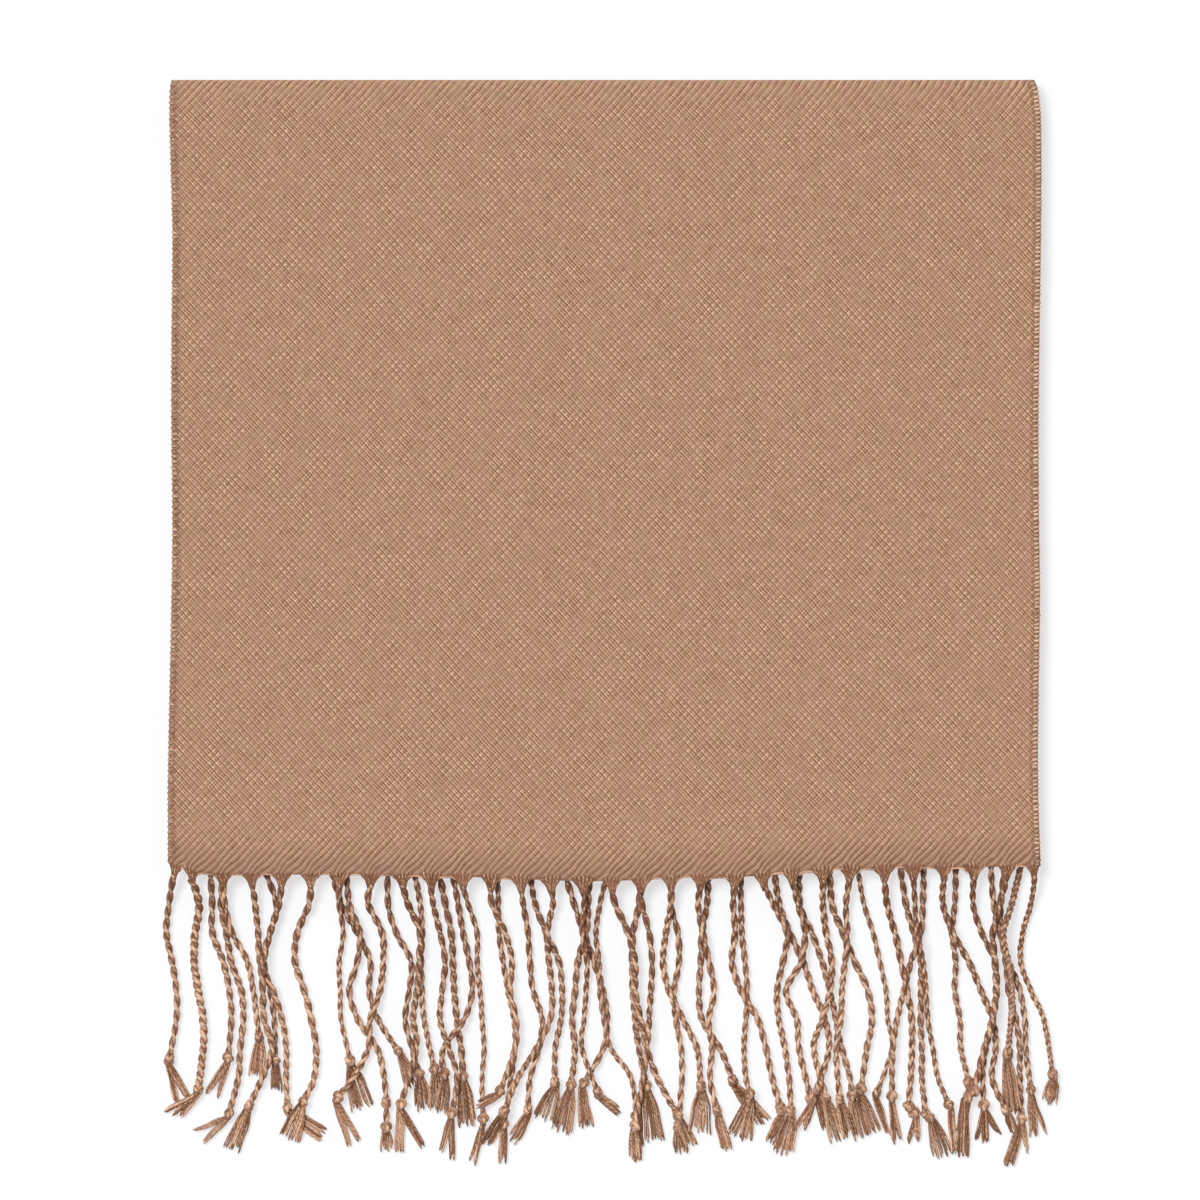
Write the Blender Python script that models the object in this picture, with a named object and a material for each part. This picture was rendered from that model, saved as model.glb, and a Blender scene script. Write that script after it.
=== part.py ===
"""A folded bamboo scarf lying flat, with two layers of twisted, knotted fringe.

Frame: metres, +Z up, +X towards the right of the folded scarf, +Y towards its
top fold. The origin is on the flat underside, in the middle of the folded cloth.
"""

import math

import bmesh
import bpy
from mathutils import Vector

# ---------------------------------------------------------------- driving sizes
MM = 0.001
CLOTH_WIDTH = 300.0 * MM          # across the folded scarf, edge to edge
WALL = 1.0 * MM                   # one layer of the twill
GAP = 0.3 * MM                    # between pieces that touch
LAYER_PITCH = WALL + GAP          # one layer to the next
LAYER_COUNT = 6
FLOOR_GAP = 0.3 * MM              # under the cords
TOP_RADIUS = (4 * LAYER_PITCH - GAP) / 2.0        # the top fold holds layers 1 to 4
INNER_RADIUS = TOP_RADIUS - LAYER_PITCH           # inside it, layers 2 and 3
MID_RADIUS = (2 * LAYER_PITCH - GAP) / 2.0        # the mid fold holds layers 5 and 6

# The photo's places are read in its 1200 pixel frame. The cloth is 867 of its
# pixels wide, which gives the length of one pixel.
CLOTH_WIDTH_PX = 867.0
PX = CLOTH_WIDTH / CLOTH_WIDTH_PX
MIDDLE_X_PX = 605.5
MIDDLE_Y_PX = 478.5
FOLD_Y_PX = 80.0
HEM_ROW_PX = 862.0                # the sides' lowest row

HEM_STRIP = 3.0 * MM              # woven strip that the fringe grows from
HEM_COLUMNS = 28                  # columns of the end panels, from side to side
FRONT_ROWS = 9                    # and their rows, from the hem to the fold
REAR_ROWS = 5
TURN_STEPS = 8                    # round the top fold
REAR_HEM_SETBACK = 6.0 * MM       # the rear end stops short of the front one
BOTTOM_FOLD_SETBACK = 11.0 * MM   # and the middle of the cloth folds before both
MID_FOLD_SETBACK = 1.6 * MM       # the scarf's mid fold, under the top fold
REAR_SIDE_SETBACK = 0.5 * MM
SIDE_SWAY = 0.5                   # share by which the hidden layers' setbacks differ
SWAY_TURN = 2.4
EDGE_INSET = 0.35 * MM            # soft edges of the hidden layers
GROOVE_DEPTH = 3.0 * MM           # between the hidden layers, at both sides
FOLD_GROOVE_SHARE = 0.1           # the grooves are this much shallower at the lower fold

CORD_WIDTH = 2.1 * MM             # four-sided section of a cord, a little flat
CORD_HEIGHT = 1.7 * MM
GATHER_HALF = 3.6 * MM            # half the width of the threads drawn into a cord
GATHER_LENGTH = 3.2 * MM
GATHER_CLEAR = 0.5 * MM
RING_STEP = 5.8 * MM              # between two sections of a cord
CORD_DROP = 0.34                  # fall of a cord from its hem, for each unit out
KNOT_LENGTH = 4.2 * MM
KNOT_WIDTH = 3.7 * MM
KNOT_HEIGHT = 2.7 * MM
# The knot's sections. Columns: share of its length from its middle, size.
KNOT_SHAPE = ((-0.32, 0.94), (0.22, 1.0), (0.5, 0.8))
LOCK_HEIGHT = 1.3 * MM
LOCK_ROOT = 0.18 * MM             # each lock's frame on the knot it grows from
LOCK_ROOT_MOST = 0.4              # share of the way to the lock's middle
LOCK_START = 1.0 * MM             # out from the knot, where the locks are parted
TASSEL_LEAST = 2.0 * MM           # narrowest tassel
TWO_LOCKS_FROM = 2.5 * MM         # width of a tassel that parts in two
THREE_LOCKS_FROM = 5.0 * MM       # and in three
LOCK_FILL = 0.72                  # share of a tassel's width that its locks fill
KNOT_FILL = 0.8                   # share of the knot's width that they start from

SAMPLE_STEP = 0.8 * MM            # along a cord, when it is laid over the others
SLOPE_ALLOWANCE = 1.08            # a sloping section is this much taller
SIDE_ALLOWANCE = 1.12             # and a turned one this much wider

# Side edges of the cloth, from the fold to the hem. Columns: row, left, right (px).
SIDE_ROWS = (
    (80, 171.0, 1036.0),
    (98, 170.0, 1038.5),
    (158, 171.0, 1041.0),
    (238, 173.0, 1040.5),
    (338, 172.0, 1039.0),
    (438, 172.0, 1038.0),
    (518, 173.0, 1038.5),
    (598, 172.0, 1039.5),
    (698, 170.0, 1038.0),
    (778, 168.5, 1037.5),
    (862, 168.5, 1040.0),
)

# The hem between the cords' roots, left to right. Columns: x, row (px).
HEM_ROWS = (
    (168, 863.0),
    (184, 868.0),
    (204, 872.5),
    (224, 874.0),
    (324, 874.5),
    (443, 876.0),
    (594, 881.0),
    (686, 877.5),
    (745, 876.5),
    (807, 871.0),
    (903, 868.0),
    (1041, 866.0),
)

# Rows of the photo where the cords' places are read, 10 mm apart.
STATION_ROWS_PX = (904, 933, 962, 991, 1020, 1049, 1078)

# One row for each cord, in the order in which they are laid. Columns, in pixels:
# root x; x at the station rows above its knot; knot x, row; tassel tip x, row, width.
REAR_CORDS = (
    (210, (212, 212, 223, 229, 231), (228, 1058), (211, 1096, 11)),
    (224, (221, 226, 231, 241, 243, 240, 238), (229, 1113), (198, 1138, 14)),
    (262, (276, 270, 264, 270, 274), (275, 1061), (276, 1093, 9)),
    (330, (341, 357, 370, 369, 378), (398, 1051), (411, 1088, 10)),
    (346, (349, 360, 357, 349, 358, 377, 384), (386, 1103), (387, 1153, 10)),
    (388, (388, 396, 411, 409, 405, 412), (419, 1074), (425, 1112, 14)),
    (413, (420, 422, 421, 422, 424), (434, 1069), (435, 1110, 11)),
    (438, (445, 451, 453, 454, 457, 461), (463, 1077), (467, 1127, 14)),
    (451, (458, 463, 469, 472, 464, 443), (444, 1074), (441, 1116, 12)),
    (498, (498, 499, 503, 508, 514, 515, 511), (504, 1124), (502, 1163, 6)),
    (530, (535, 546, 559, 562, 561, 555), (555, 1083), (543, 1122, 20)),
    (564, (574, 584, 594, 603, 607, 603), (584, 1083), (584, 1128, 16)),
    (590, (588, 586, 578, 575, 572, 575), (571, 1085), (561, 1133, 18)),
    (608, (600, 596, 599, 600, 604, 611, 631), (636, 1116), (642, 1150, 6)),
    (640, (639, 633, 632, 633, 635, 639), (646, 1086), (652, 1144, 24)),
    (673, (671, 678, 679, 674, 676, 681, 682), (678, 1127), (682, 1154, 14)),
    (709, (707, 702, 701, 699, 702, 720), (733, 1081), (766, 1123, 12)),
    (741, (741, 742, 745, 747, 746, 744, 746), (750, 1094), (740, 1142, 24)),
    (774, (779, 790, 803, 813, 825, 829), (818, 1089), (828, 1131, 9)),
    (800, (800, 812, 822, 830, 836, 842, 850), (852, 1096), (862, 1140, 14)),
    (830, (832, 843, 855, 868, 872, 867), (861, 1089), (876, 1135, 13)),
    (856, (864, 873, 880, 886, 888, 892), (877, 1093), (889, 1136, 4)),
    (899, (906, 914, 921, 921, 921, 922, 922), (926, 1114), (944, 1157, 16)),
    (924, (923, 921, 911, 904, 897, 893, 892), (892, 1096), (898, 1142, 10)),
    (956, (955, 952, 956, 955, 960, 961), (969, 1083), (960, 1136, 8)),
    (990, (994, 1000, 1009, 1020, 1025, 1026), (1031, 1090), (1036, 1133, 14)),
    (1006, (1001, 1001, 1006, 1009, 1016, 1020, 1020), (1022, 1119), (1011, 1165, 14)),
    (1023, (1012, 1003, 1008, 1012, 1012), (1009, 1053), (1014, 1115, 14)),
)

FRONT_CORDS = (
    (174, (169, 166, 172, 176, 176), (169, 1060), (183, 1106, 15)),
    (191, (199, 195, 194, 198, 203, 203), (198, 1090), (170, 1117, 16)),
    (223, (225, 232, 247, 253), (259, 1037), (257, 1077, 14)),
    (252, (255, 258, 260, 273, 282, 286, 286), (287, 1107), (324, 1135, 14)),
    (282, (279, 270, 262, 263, 264, 272, 262), (249, 1106), (230, 1150, 14)),
    (311, (309, 297, 295, 304, 311, 316, 314), (303, 1102), (288, 1140, 18)),
    (340, (339, 343, 339, 340, 341), (350, 1061), (364, 1109, 20)),
    (371, (368, 382, 383, 380, 370, 368, 353), (338, 1097), (353, 1144, 12)),
    (402, (408, 420, 419, 417, 413, 416), (401, 1104), (410, 1150, 28)),
    (431, (433, 440, 445, 442, 440, 449, 457), (452, 1113), (446, 1158, 13)),
    (462, (468, 477, 477, 480, 482, 484, 482), (483, 1119), (472, 1165, 6)),
    (491, (492, 505, 512, 510, 516, 515), (500, 1091), (476, 1107, 8)),
    (521, (523, 528, 530, 533, 542, 539, 530), (528, 1110), (511, 1143, 10)),
    (551, (553, 547, 549, 552, 550, 536, 518), (504, 1112), (485, 1147, 10)),
    (583, (584, 582, 587, 586, 584, 582), (598, 1093), (622, 1115, 7)),
    (612, (615, 628, 635, 635, 641, 647, 657), (678, 1116), (693, 1147, 10)),
    (641, (642, 649, 652, 651, 649, 647, 643), (635, 1126), (637, 1163, 11)),
    (671, (671, 666, 663, 669, 683, 697), (701, 1086), (698, 1134, 20)),
    (701, (698, 703, 709, 714, 709, 712, 710), (717, 1110), (728, 1153, 9)),
    (735, (733, 735, 732, 741, 758, 766, 772), (781, 1109), (769, 1143, 9)),
    (763, (773, 787, 783, 777, 779, 785, 789), (791, 1111), (782, 1156, 17)),
    (792, (798, 805, 801, 786, 797, 799), (811, 1099), (800, 1131, 14)),
    (823, (823, 826, 832, 830, 822, 814), (826, 1098), (840, 1141, 14)),
    (850, (846, 847, 845, 842, 841, 836), (840, 1099), (850, 1137, 12)),
    (884, (887, 895, 901, 907, 912, 912, 911), (909, 1106), (913, 1144, 13)),
    (913, (915, 917, 923, 926, 928, 933, 938), (949, 1105), (954, 1155, 5)),
    (944, (943, 953, 969, 981, 993, 996, 992), (1006, 1110), (1015, 1133, 8)),
    (974, (973, 982, 995, 997, 993, 986, 983), (984, 1105), (986, 1143, 22)),
    (1007, (1000, 993, 995, 996, 992, 984), (974, 1091), (963, 1157, 9)),
    (1035, (1031, 1023, 1021, 1031, 1044), (1053, 1075), (1049, 1106, 14)),
)


# ---------------------------------------------------------------- places
def along(x_px):
    """Distance to the right of the scarf's middle line."""
    return (x_px - MIDDLE_X_PX) * PX


def up(row_px):
    """Distance towards the top fold from the middle of the folded cloth."""
    return (MIDDLE_Y_PX - row_px) * PX


def read(table, place, column):
    """A table's column at a place in its first column, on one smooth curve."""
    last = len(table) - 2
    k = 0
    while k < last and place > table[k + 1][0]:
        k += 1
    before = table[max(k - 1, 0)]
    low = table[k]
    high = table[k + 1]
    after = table[min(k + 2, last + 1)]
    span = high[0] - low[0]
    t = min(max((place - low[0]) / span, 0.0), 1.0)
    slope_low = (high[column] - before[column]) / max(high[0] - before[0], 1e-9) * span
    slope_high = (after[column] - low[column]) / max(after[0] - low[0], 1e-9) * span
    return (
        (2 * t**3 - 3 * t**2 + 1) * low[column]
        + (t**3 - 2 * t**2 + t) * slope_low
        + (3 * t**2 - 2 * t**3) * high[column]
        + (t**3 - t**2) * slope_high
    )


FOLD_Y = up(FOLD_Y_PX)
HEM_Y = up(HEM_ROW_PX)


def row_at(y):
    return MIDDLE_Y_PX - y / PX


def side(y, share):
    """Sideways place at a height y: share 0 is the left edge, 1 the right one."""
    row = row_at(y)
    left = along(read(SIDE_ROWS, row, 1))
    right = along(read(SIDE_ROWS, row, 2))
    return left + (right - left) * share


def hem(x):
    """Height y of the front end's hem at a sideways place x."""
    return up(read(HEM_ROWS, x / PX + MIDDLE_X_PX, 1))


def hem_line(share):
    """The hem's height y at a share of the cloth's width, straight between columns."""
    place = min(max(share, 0.0), 1.0) * HEM_COLUMNS
    low = min(math.floor(place), HEM_COLUMNS - 1)
    ends = []
    for column in (low, low + 1):
        ends.append(hem(side(HEM_Y, column / HEM_COLUMNS)))
    return ends[0] + (ends[1] - ends[0]) * (place - low)


def layer_bottom(layer):
    """Underside of a layer, counted from 1 at the top to 6 at the floor."""
    return (LAYER_COUNT - layer) * LAYER_PITCH


# ---------------------------------------------------------------- making objects
def finish_material(name, colour, roughness):
    material = bpy.data.materials.new(name)
    material.use_nodes = True
    shader = material.node_tree.nodes["Principled BSDF"]
    shader.inputs["Base Color"].default_value = (*colour, 1.0)
    shader.inputs["Roughness"].default_value = roughness
    shader.inputs["Metallic"].default_value = 0.0
    return material


def add_object(name, bm, material, smooth_angle=50.0):
    bmesh.ops.recalc_face_normals(bm, faces=bm.faces)
    mesh = bpy.data.meshes.new(name)
    bm.to_mesh(mesh)
    bm.free()
    mesh.shade_smooth()
    mesh.set_sharp_from_angle(angle=math.radians(smooth_angle))
    mesh.materials.append(material)
    body = bpy.data.objects.new(name, mesh)
    bpy.context.scene.collection.objects.link(body)
    return body


# ---------------------------------------------------------------- cloth layers
def end_layer(name, layer, radius, hem_rise, side_inset, rows, material):
    """One end of the scarf: a flat panel that turns down round the top fold.

    radius is the fold's outer radius, and hem_rise is how far above the front
    hem the panel stops.
    """
    top = layer_bottom(layer) + WALL
    centre_y = FOLD_Y - TOP_RADIUS
    centre_z = top - radius
    bm = bmesh.new()
    steps = rows + TURN_STEPS
    bmesh.ops.create_grid(bm, x_segments=HEM_COLUMNS, y_segments=steps, size=1.0)
    for vert in bm.verts:
        share = (vert.co.x + 1.0) / 2.0
        step = round((vert.co.y + 1.0) / 2.0 * steps)
        if step <= rows:
            foot = hem_line(share) + hem_rise
            y = foot + (centre_y - foot) * step / rows
            z = top
            edge_y = HEM_Y + (centre_y - HEM_Y) * step / rows
        else:
            angle = math.pi * (step - rows) / TURN_STEPS
            y = centre_y + radius * math.sin(angle)
            z = centre_z + radius * math.cos(angle)
            edge_y = y
        left = side(edge_y, 0.0) + side_inset
        right = side(edge_y, 1.0) - side_inset
        vert.co = (left + (right - left) * share, y, z)
    body = add_object(name, bm, material)
    wall = body.modifiers.new("wall", "SOLIDIFY")
    wall.thickness = WALL
    wall.offset = -1.0
    wall.use_even_offset = True
    return body


def half_round(z, low, high):
    """How far a half-round edge from low to high draws in at a height z."""
    radius = (high - low) / 2.0
    rise = min(abs(z - (low + high) / 2.0), radius)
    return radius - math.sqrt(radius**2 - rise**2)


def folded_levels():
    """Heights of the hidden layers' outline, with how far their sides draw in."""
    levels = []
    for layer in (6, 5, 4, 3):
        low = layer_bottom(layer)
        if layer < 6:
            levels.append((low, GROOVE_DEPTH, layer))
        levels.append((low, EDGE_INSET, layer))
        levels.append((low + WALL / 2.0, 0.0, layer))
        levels.append((low + WALL, EDGE_INSET, layer))
        if layer > 3:
            levels.append((low + WALL, GROOVE_DEPTH, layer))
    return levels


def outline(z, side_inset, layer, across=8, height=9):
    """Points round the hidden layers at one height, anticlockwise from above."""
    stack_top = layer_bottom(3) + WALL
    bottom_in = half_round(z, 0.0, stack_top)
    if layer >= 5:
        top_y = FOLD_Y - MID_FOLD_SETBACK - half_round(z, 0.0, 2 * MID_RADIUS)
    else:
        top_y = FOLD_Y - TOP_RADIUS - GAP
    if side_inset >= GROOVE_DEPTH:
        top_y -= GROOVE_DEPTH
    sway = 1.0 + SIDE_SWAY * math.sin(SWAY_TURN * layer)
    inset = side_inset + REAR_SIDE_SETBACK * sway
    points = []

    def foot(x):
        return hem(x) + BOTTOM_FOLD_SETBACK + bottom_in + side_inset * FOLD_GROOVE_SHARE

    middle_left = side(0.0, 0.0)
    middle_right = side(0.0, 1.0)
    for k in range(across + 1):
        share = k / across
        x = middle_left + (middle_right - middle_left) * share
        y = foot(x)
        points.append((side(y, 0.0) + inset, side(y, 1.0) - inset, share, y))
    for k in range(1, height):
        y = foot(middle_right) + (top_y - foot(middle_right)) * k / height
        points.append((side(y, 0.0) + inset, side(y, 1.0) - inset, 1.0, y))
    for k in range(across + 1):
        share = 1.0 - k / across
        points.append((side(top_y, 0.0) + inset, side(top_y, 1.0) - inset, share, top_y))
    for k in range(1, height):
        y = top_y + (foot(middle_left) - top_y) * k / height
        points.append((side(y, 0.0) + inset, side(y, 1.0) - inset, 0.0, y))
    return [Vector((a + (b - a) * share, y, z)) for a, b, share, y in points]


def folded_layers(material):
    """The four hidden layers as one solid, grooved between them at its edges."""
    bm = bmesh.new()
    rings = []
    for z, side_inset, layer in folded_levels():
        rings.append([bm.verts.new(point) for point in outline(z, side_inset, layer)])
    bm.faces.new(rings[0][::-1])
    bm.faces.new(rings[-1])
    for low, high in zip(rings, rings[1:]):
        for k in range(len(low)):
            after = (k + 1) % len(low)
            bm.faces.new((low[k], low[after], high[after], high[k]))
    return add_object("folded_layers", bm, material, 30.0)


# ---------------------------------------------------------------- the fringe
class Section:
    """A four-sided section of a cord or lock: its centre, width and height."""

    def __init__(self, x, y, z, width, height):
        self.at = Vector((x, y, z))
        self.width = width
        self.height = height


def smooth_route(points, step):
    """Points about a step apart on the smooth curve through hand-set points."""
    route = []
    last = len(points) - 1
    for k in range(last):
        p0 = points[max(k - 1, 0)]
        p1 = points[k]
        p2 = points[k + 1]
        p3 = points[min(k + 2, last)]
        pieces = max(1, round((p2 - p1).length / step))
        for piece in range(pieces):
            t = piece / pieces
            route.append(
                0.5
                * (
                    2 * p1
                    + (p2 - p0) * t
                    + (2 * p0 - 5 * p1 + 4 * p2 - p3) * t**2
                    + (3 * p1 - p0 - 3 * p2 + p3) * t**3
                )
            )
    route.append(points[last])
    return route


def resting(height):
    """Centre height of a section that lies just above the floor."""
    return FLOOR_GAP + height / 2.0


def cord_sections(cord, hem_y, hem_z):
    """Sections of one cord from its gather to its knot, before it is laid."""
    root_x, station_xs, knot, _ = cord
    start = Vector((along(root_x), hem_y - GATHER_LENGTH))
    through = [start]
    for x_px, row in zip(station_xs, STATION_ROWS_PX):
        through.append(Vector((along(x_px), up(row))))
    end = Vector((along(knot[0]), up(knot[1])))
    through.append(end + (through[-1] - end).normalized() * KNOT_LENGTH / 2.0)
    sections = []
    for point in smooth_route(through, RING_STEP):
        fall = CORD_DROP * (hem_y - point.y)
        z = max(hem_z - fall, resting(CORD_HEIGHT))
        sections.append(Section(point.x, point.y, z, CORD_WIDTH, CORD_HEIGHT))
    heading = (end - through[-2]).normalized()
    for share, size in KNOT_SHAPE:
        at = end + heading * KNOT_LENGTH * share
        height = KNOT_HEIGHT * size
        sections.append(Section(at.x, at.y, resting(height), KNOT_WIDTH * size, height))
    return sections


def level_knot(knot):
    """Lay a knot level, at the height of its highest section."""
    highest = max(section.at.z for section in knot)
    for section in knot:
        section.at.z = highest


def lock_count(width):
    return 1 + (width >= TWO_LOCKS_FROM) + (width >= THREE_LOCKS_FROM)


def lock_sections(knot_end, heading, cord, index, count):
    """Root, middle and tip sections of one lock of a tassel."""
    tip_x, tip_row, fan_px = cord[3]
    fan = max(fan_px * PX, TASSEL_LEAST)
    tip = Vector((along(tip_x), up(tip_row)))
    out = tip - knot_end.at.xy
    across = Vector((-out.y, out.x)).normalized()
    offset = (index + 0.5) / count - 0.5
    end = tip + across * fan * offset
    end_width = fan / count * LOCK_FILL
    start = knot_end.at.xy + heading * LOCK_START + across * KNOT_WIDTH * KNOT_FILL * offset
    start_width = knot_end.width * KNOT_FILL / count
    middle = start.lerp(end, 0.5)
    middle_width = (start_width + end_width) / 2.0
    z = resting(LOCK_HEIGHT)
    root = knot_end.at.xy + across * knot_end.width * offset
    return [
        Section(root.x, root.y, knot_end.at.z, start_width, LOCK_HEIGHT),
        Section(middle.x, middle.y, z, middle_width, LOCK_HEIGHT),
        Section(end.x, end.y, z, end_width, LOCK_HEIGHT),
    ]


class Pile:
    """The cords laid so far, in square cells, to lay the next ones over them."""

    cell = 6.0 * MM

    def __init__(self):
        self.cells = {}

    def key(self, point):
        return (math.floor(point.x / self.cell), math.floor(point.y / self.cell))

    def samples(self, sections):
        for k, (low, high) in enumerate(zip(sections, sections[1:])):
            steps = max(1, math.ceil((high.at - low.at).length / SAMPLE_STEP))
            for step in range(steps + 1):
                t = step / steps
                at = low.at.lerp(high.at, t)
                width = low.width + (high.width - low.width) * t
                height = low.height + (high.height - low.height) * t
                yield k, at, width, height

    def clear_height(self, at, width, height):
        """Lowest centre height here that clears all that is laid already."""
        lowest = -1.0
        column, row = self.key(at)
        for i in (column - 1, column, column + 1):
            for j in (row - 1, row, row + 1):
                for below, below_width, below_height in self.cells.get((i, j), ()):
                    reach = (width + below_width) / 2.0 * SIDE_ALLOWANCE + GAP
                    if (below.xy - at.xy).length < reach:
                        rise = (height + below_height) / 2.0 * SLOPE_ALLOWANCE + GAP
                        lowest = max(lowest, below.z + rise)
        return lowest

    def lay(self, sections, skip=0):
        """Raise sections over what they cross, leaving the first skip in place."""
        wanted = [section.at.z for section in sections]
        for k, at, width, height in self.samples(sections):
            lowest = self.clear_height(at, width, height)
            for end in (k, k + 1):
                if end >= skip:
                    wanted[end] = max(wanted[end], lowest)
        for section, z in zip(sections, wanted):
            section.at.z = z

    def keep(self, sections):
        for _, at, width, height in self.samples(sections):
            self.cells.setdefault(self.key(at), []).append((at, width, height))


def corners(section, direction):
    """The section's corners: left low, left high, right high, right low."""
    sideways = Vector((0.0, 0.0, 1.0)).cross(direction).normalized()
    upwards = direction.cross(sideways).normalized()
    half_width = sideways * section.width / 2.0
    half_height = upwards * section.height / 2.0
    at = section.at
    return [
        at - half_width - half_height,
        at - half_width + half_height,
        at + half_width + half_height,
        at + half_width - half_height,
    ]


def grow(bm, face, face_corners, places):
    """Extrude one face so that its corners reach new places."""
    face = bmesh.ops.extrude_discrete_faces(bm, faces=[face])["faces"][0]
    fresh = list(face.verts)
    moved = []
    for corner in face_corners:
        moved.append(min(fresh, key=lambda vert: (vert.co - corner.co).length))
    for vert, place in zip(moved, places):
        vert.co = place
    return face, moved


def directions(sections):
    """The way the cord runs at each section."""
    found = []
    last = len(sections) - 1
    for k in range(last + 1):
        before = sections[max(k - 1, 0)].at
        after = sections[min(k + 1, last)].at
        found.append((after - before).normalized())
    return found


def split_end(bm, face, face_corners, count):
    """Part a cord's end face into a row of equal faces, left to right."""
    left_low, left_high, right_high, right_low = face_corners
    pieces = []
    low, high = left_low, left_high
    for index in range(1, count):
        share = 1.0 / (count - index + 1)
        low_edge = bm.edges.get((low, right_low))
        high_edge = bm.edges.get((high, right_high))
        _, next_low = bmesh.utils.edge_split(low_edge, low, share)
        _, next_high = bmesh.utils.edge_split(high_edge, high, share)
        bmesh.utils.face_split(face, next_low, next_high)
        pieces.append((low, high, next_high, next_low))
        face = next(f for f in next_low.link_faces if right_low in f.verts and next_high in f.verts)
        low, high = next_low, next_high
    pieces.append((low, high, right_high, right_low))
    return pieces


def grow_tassel(bm, face, face_corners, locks):
    """Grow a tassel's locks from the knot's end face."""
    pieces = split_end(bm, face, face_corners, len(locks))
    faces = [bm.faces.get(piece) for piece in pieces]
    for end_face, piece, lock in zip(faces, pieces, locks):
        centre = end_face.calc_center_median()
        framed, framed_corners = frame_face(bm, end_face, piece, centre)
        for before, section in zip(lock, lock[1:]):
            head = (section.at - before.at).normalized()
            framed, framed_corners = grow(bm, framed, framed_corners, corners(section, head))


def frame_face(bm, face, face_corners, centre):
    """Inset one face, so that its lock stands apart from the next one."""
    smallest = min((vert.co - centre).length for vert in face_corners)
    share = min(LOCK_ROOT / smallest, LOCK_ROOT_MOST)
    places = [vert.co.lerp(centre, share) for vert in face_corners]
    return grow(bm, face, face_corners, places)


def gather_ends(xs, x_low, x_high):
    """Left and right ends of each cord's gather along the hem."""
    ends = []
    for k, x in enumerate(xs):
        left = (xs[k - 1] + x) / 2.0 + GATHER_CLEAR if k else x_low + GATHER_CLEAR
        right = (xs[k + 1] + x) / 2.0 - GATHER_CLEAR if k + 1 < len(xs) else x_high - GATHER_CLEAR
        ends.append((max(left, x - GATHER_HALF), min(right, x + GATHER_HALF)))
    return ends


def hem_strip(bm, stops, hem_rise, z_low):
    """The woven strip along a hem, as boxes extruded from one to the next stop."""

    def stop_places(x):
        y = hem_line((x - stops[0]) / (stops[-1] - stops[0])) + hem_rise
        return [
            Vector((x, y + HEM_STRIP, z_low)),
            Vector((x, y + HEM_STRIP, z_low + WALL)),
            Vector((x, y, z_low + WALL)),
            Vector((x, y, z_low)),
        ]

    first = [bm.verts.new(place) for place in stop_places(stops[0])]
    second = [bm.verts.new(place) for place in stop_places(stops[1])]
    bm.faces.new(first)
    end = bm.faces.new(second[::-1])
    outer = []
    for k in range(4):
        after = (k + 1) % 4
        bm.faces.new((first[k], second[k], second[after], first[after]))
    outer.append((first, second))
    current = second
    for x in stops[2:]:
        end, fresh = grow(bm, end, current, stop_places(x))
        outer.append((current, fresh))
        current = fresh
    return outer


def fringe(name, cords, hem_rise, layer, pile, material, side_inset=0.0):
    """A hem strip with all the cords of one end grown out of it, as one body."""
    z_low = layer_bottom(layer)
    z_mid = z_low + WALL / 2.0
    bm = bmesh.new()
    xs = [along(cord[0]) for cord in cords]
    x_low = side(HEM_Y, 0.0) + side_inset
    x_high = side(HEM_Y, 1.0) - side_inset
    gathers = gather_ends(xs, x_low, x_high)
    stops = [x_low]
    for left, right in gathers:
        stops += [left, right]
    stops.append(x_high)
    segments = hem_strip(bm, stops, hem_rise, z_low)
    for k, cord in enumerate(cords):
        left_stop, right_stop = segments[2 * k + 1]
        face_corners = [left_stop[3], left_stop[2], right_stop[2], right_stop[3]]
        face = bm.faces.get(face_corners)
        root_y = hem(xs[k]) + hem_rise
        sections = cord_sections(cord, root_y, z_mid)
        pile.lay(sections, skip=1)
        level_knot(sections[-len(KNOT_SHAPE):])
        heads = directions(sections)
        for section, head in zip(sections, heads):
            face, face_corners = grow(bm, face, face_corners, corners(section, head))
        knot_end = sections[-1]
        heading = heads[-1].xy.normalized()
        count = lock_count(cord[3][2] * PX)
        locks = []
        for index in range(count):
            lock = lock_sections(knot_end, heading, cord, index, count)
            pile.lay(lock, skip=1)
            locks.append(lock)
        pile.keep(sections)
        for lock in locks:
            pile.keep(lock)
        grow_tassel(bm, face, face_corners, locks)
    return add_object(name, bm, material)


# ---------------------------------------------------------------- the scarf
def clear_scene():
    for old in list(bpy.data.objects):
        bpy.data.objects.remove(old, do_unlink=True)


def build():
    clear_scene()
    cloth = finish_material("twill", (0.452, 0.262, 0.165), 0.75)
    inner_cloth = finish_material("inner_twill", (0.412, 0.235, 0.150), 0.78)
    cord = finish_material("cord", (0.372, 0.222, 0.165), 0.55)

    panel_rise = HEM_STRIP + GAP
    end_layer("front_layer", 1, TOP_RADIUS, panel_rise, 0.0, FRONT_ROWS, cloth)
    end_layer(
        "rear_layer",
        2,
        INNER_RADIUS,
        panel_rise + REAR_HEM_SETBACK,
        REAR_SIDE_SETBACK,
        REAR_ROWS,
        inner_cloth,
    )
    folded_layers(inner_cloth)
    pile = Pile()
    fringe(
        "rear_fringe",
        REAR_CORDS,
        REAR_HEM_SETBACK,
        2,
        pile,
        cord,
        REAR_SIDE_SETBACK,
    )
    fringe("front_fringe", FRONT_CORDS, 0.0, 1, pile, cord)


build()
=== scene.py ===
"""Dresses the folded bamboo scarf: its twill, its side stitching and its two knotted fringes."""

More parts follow.
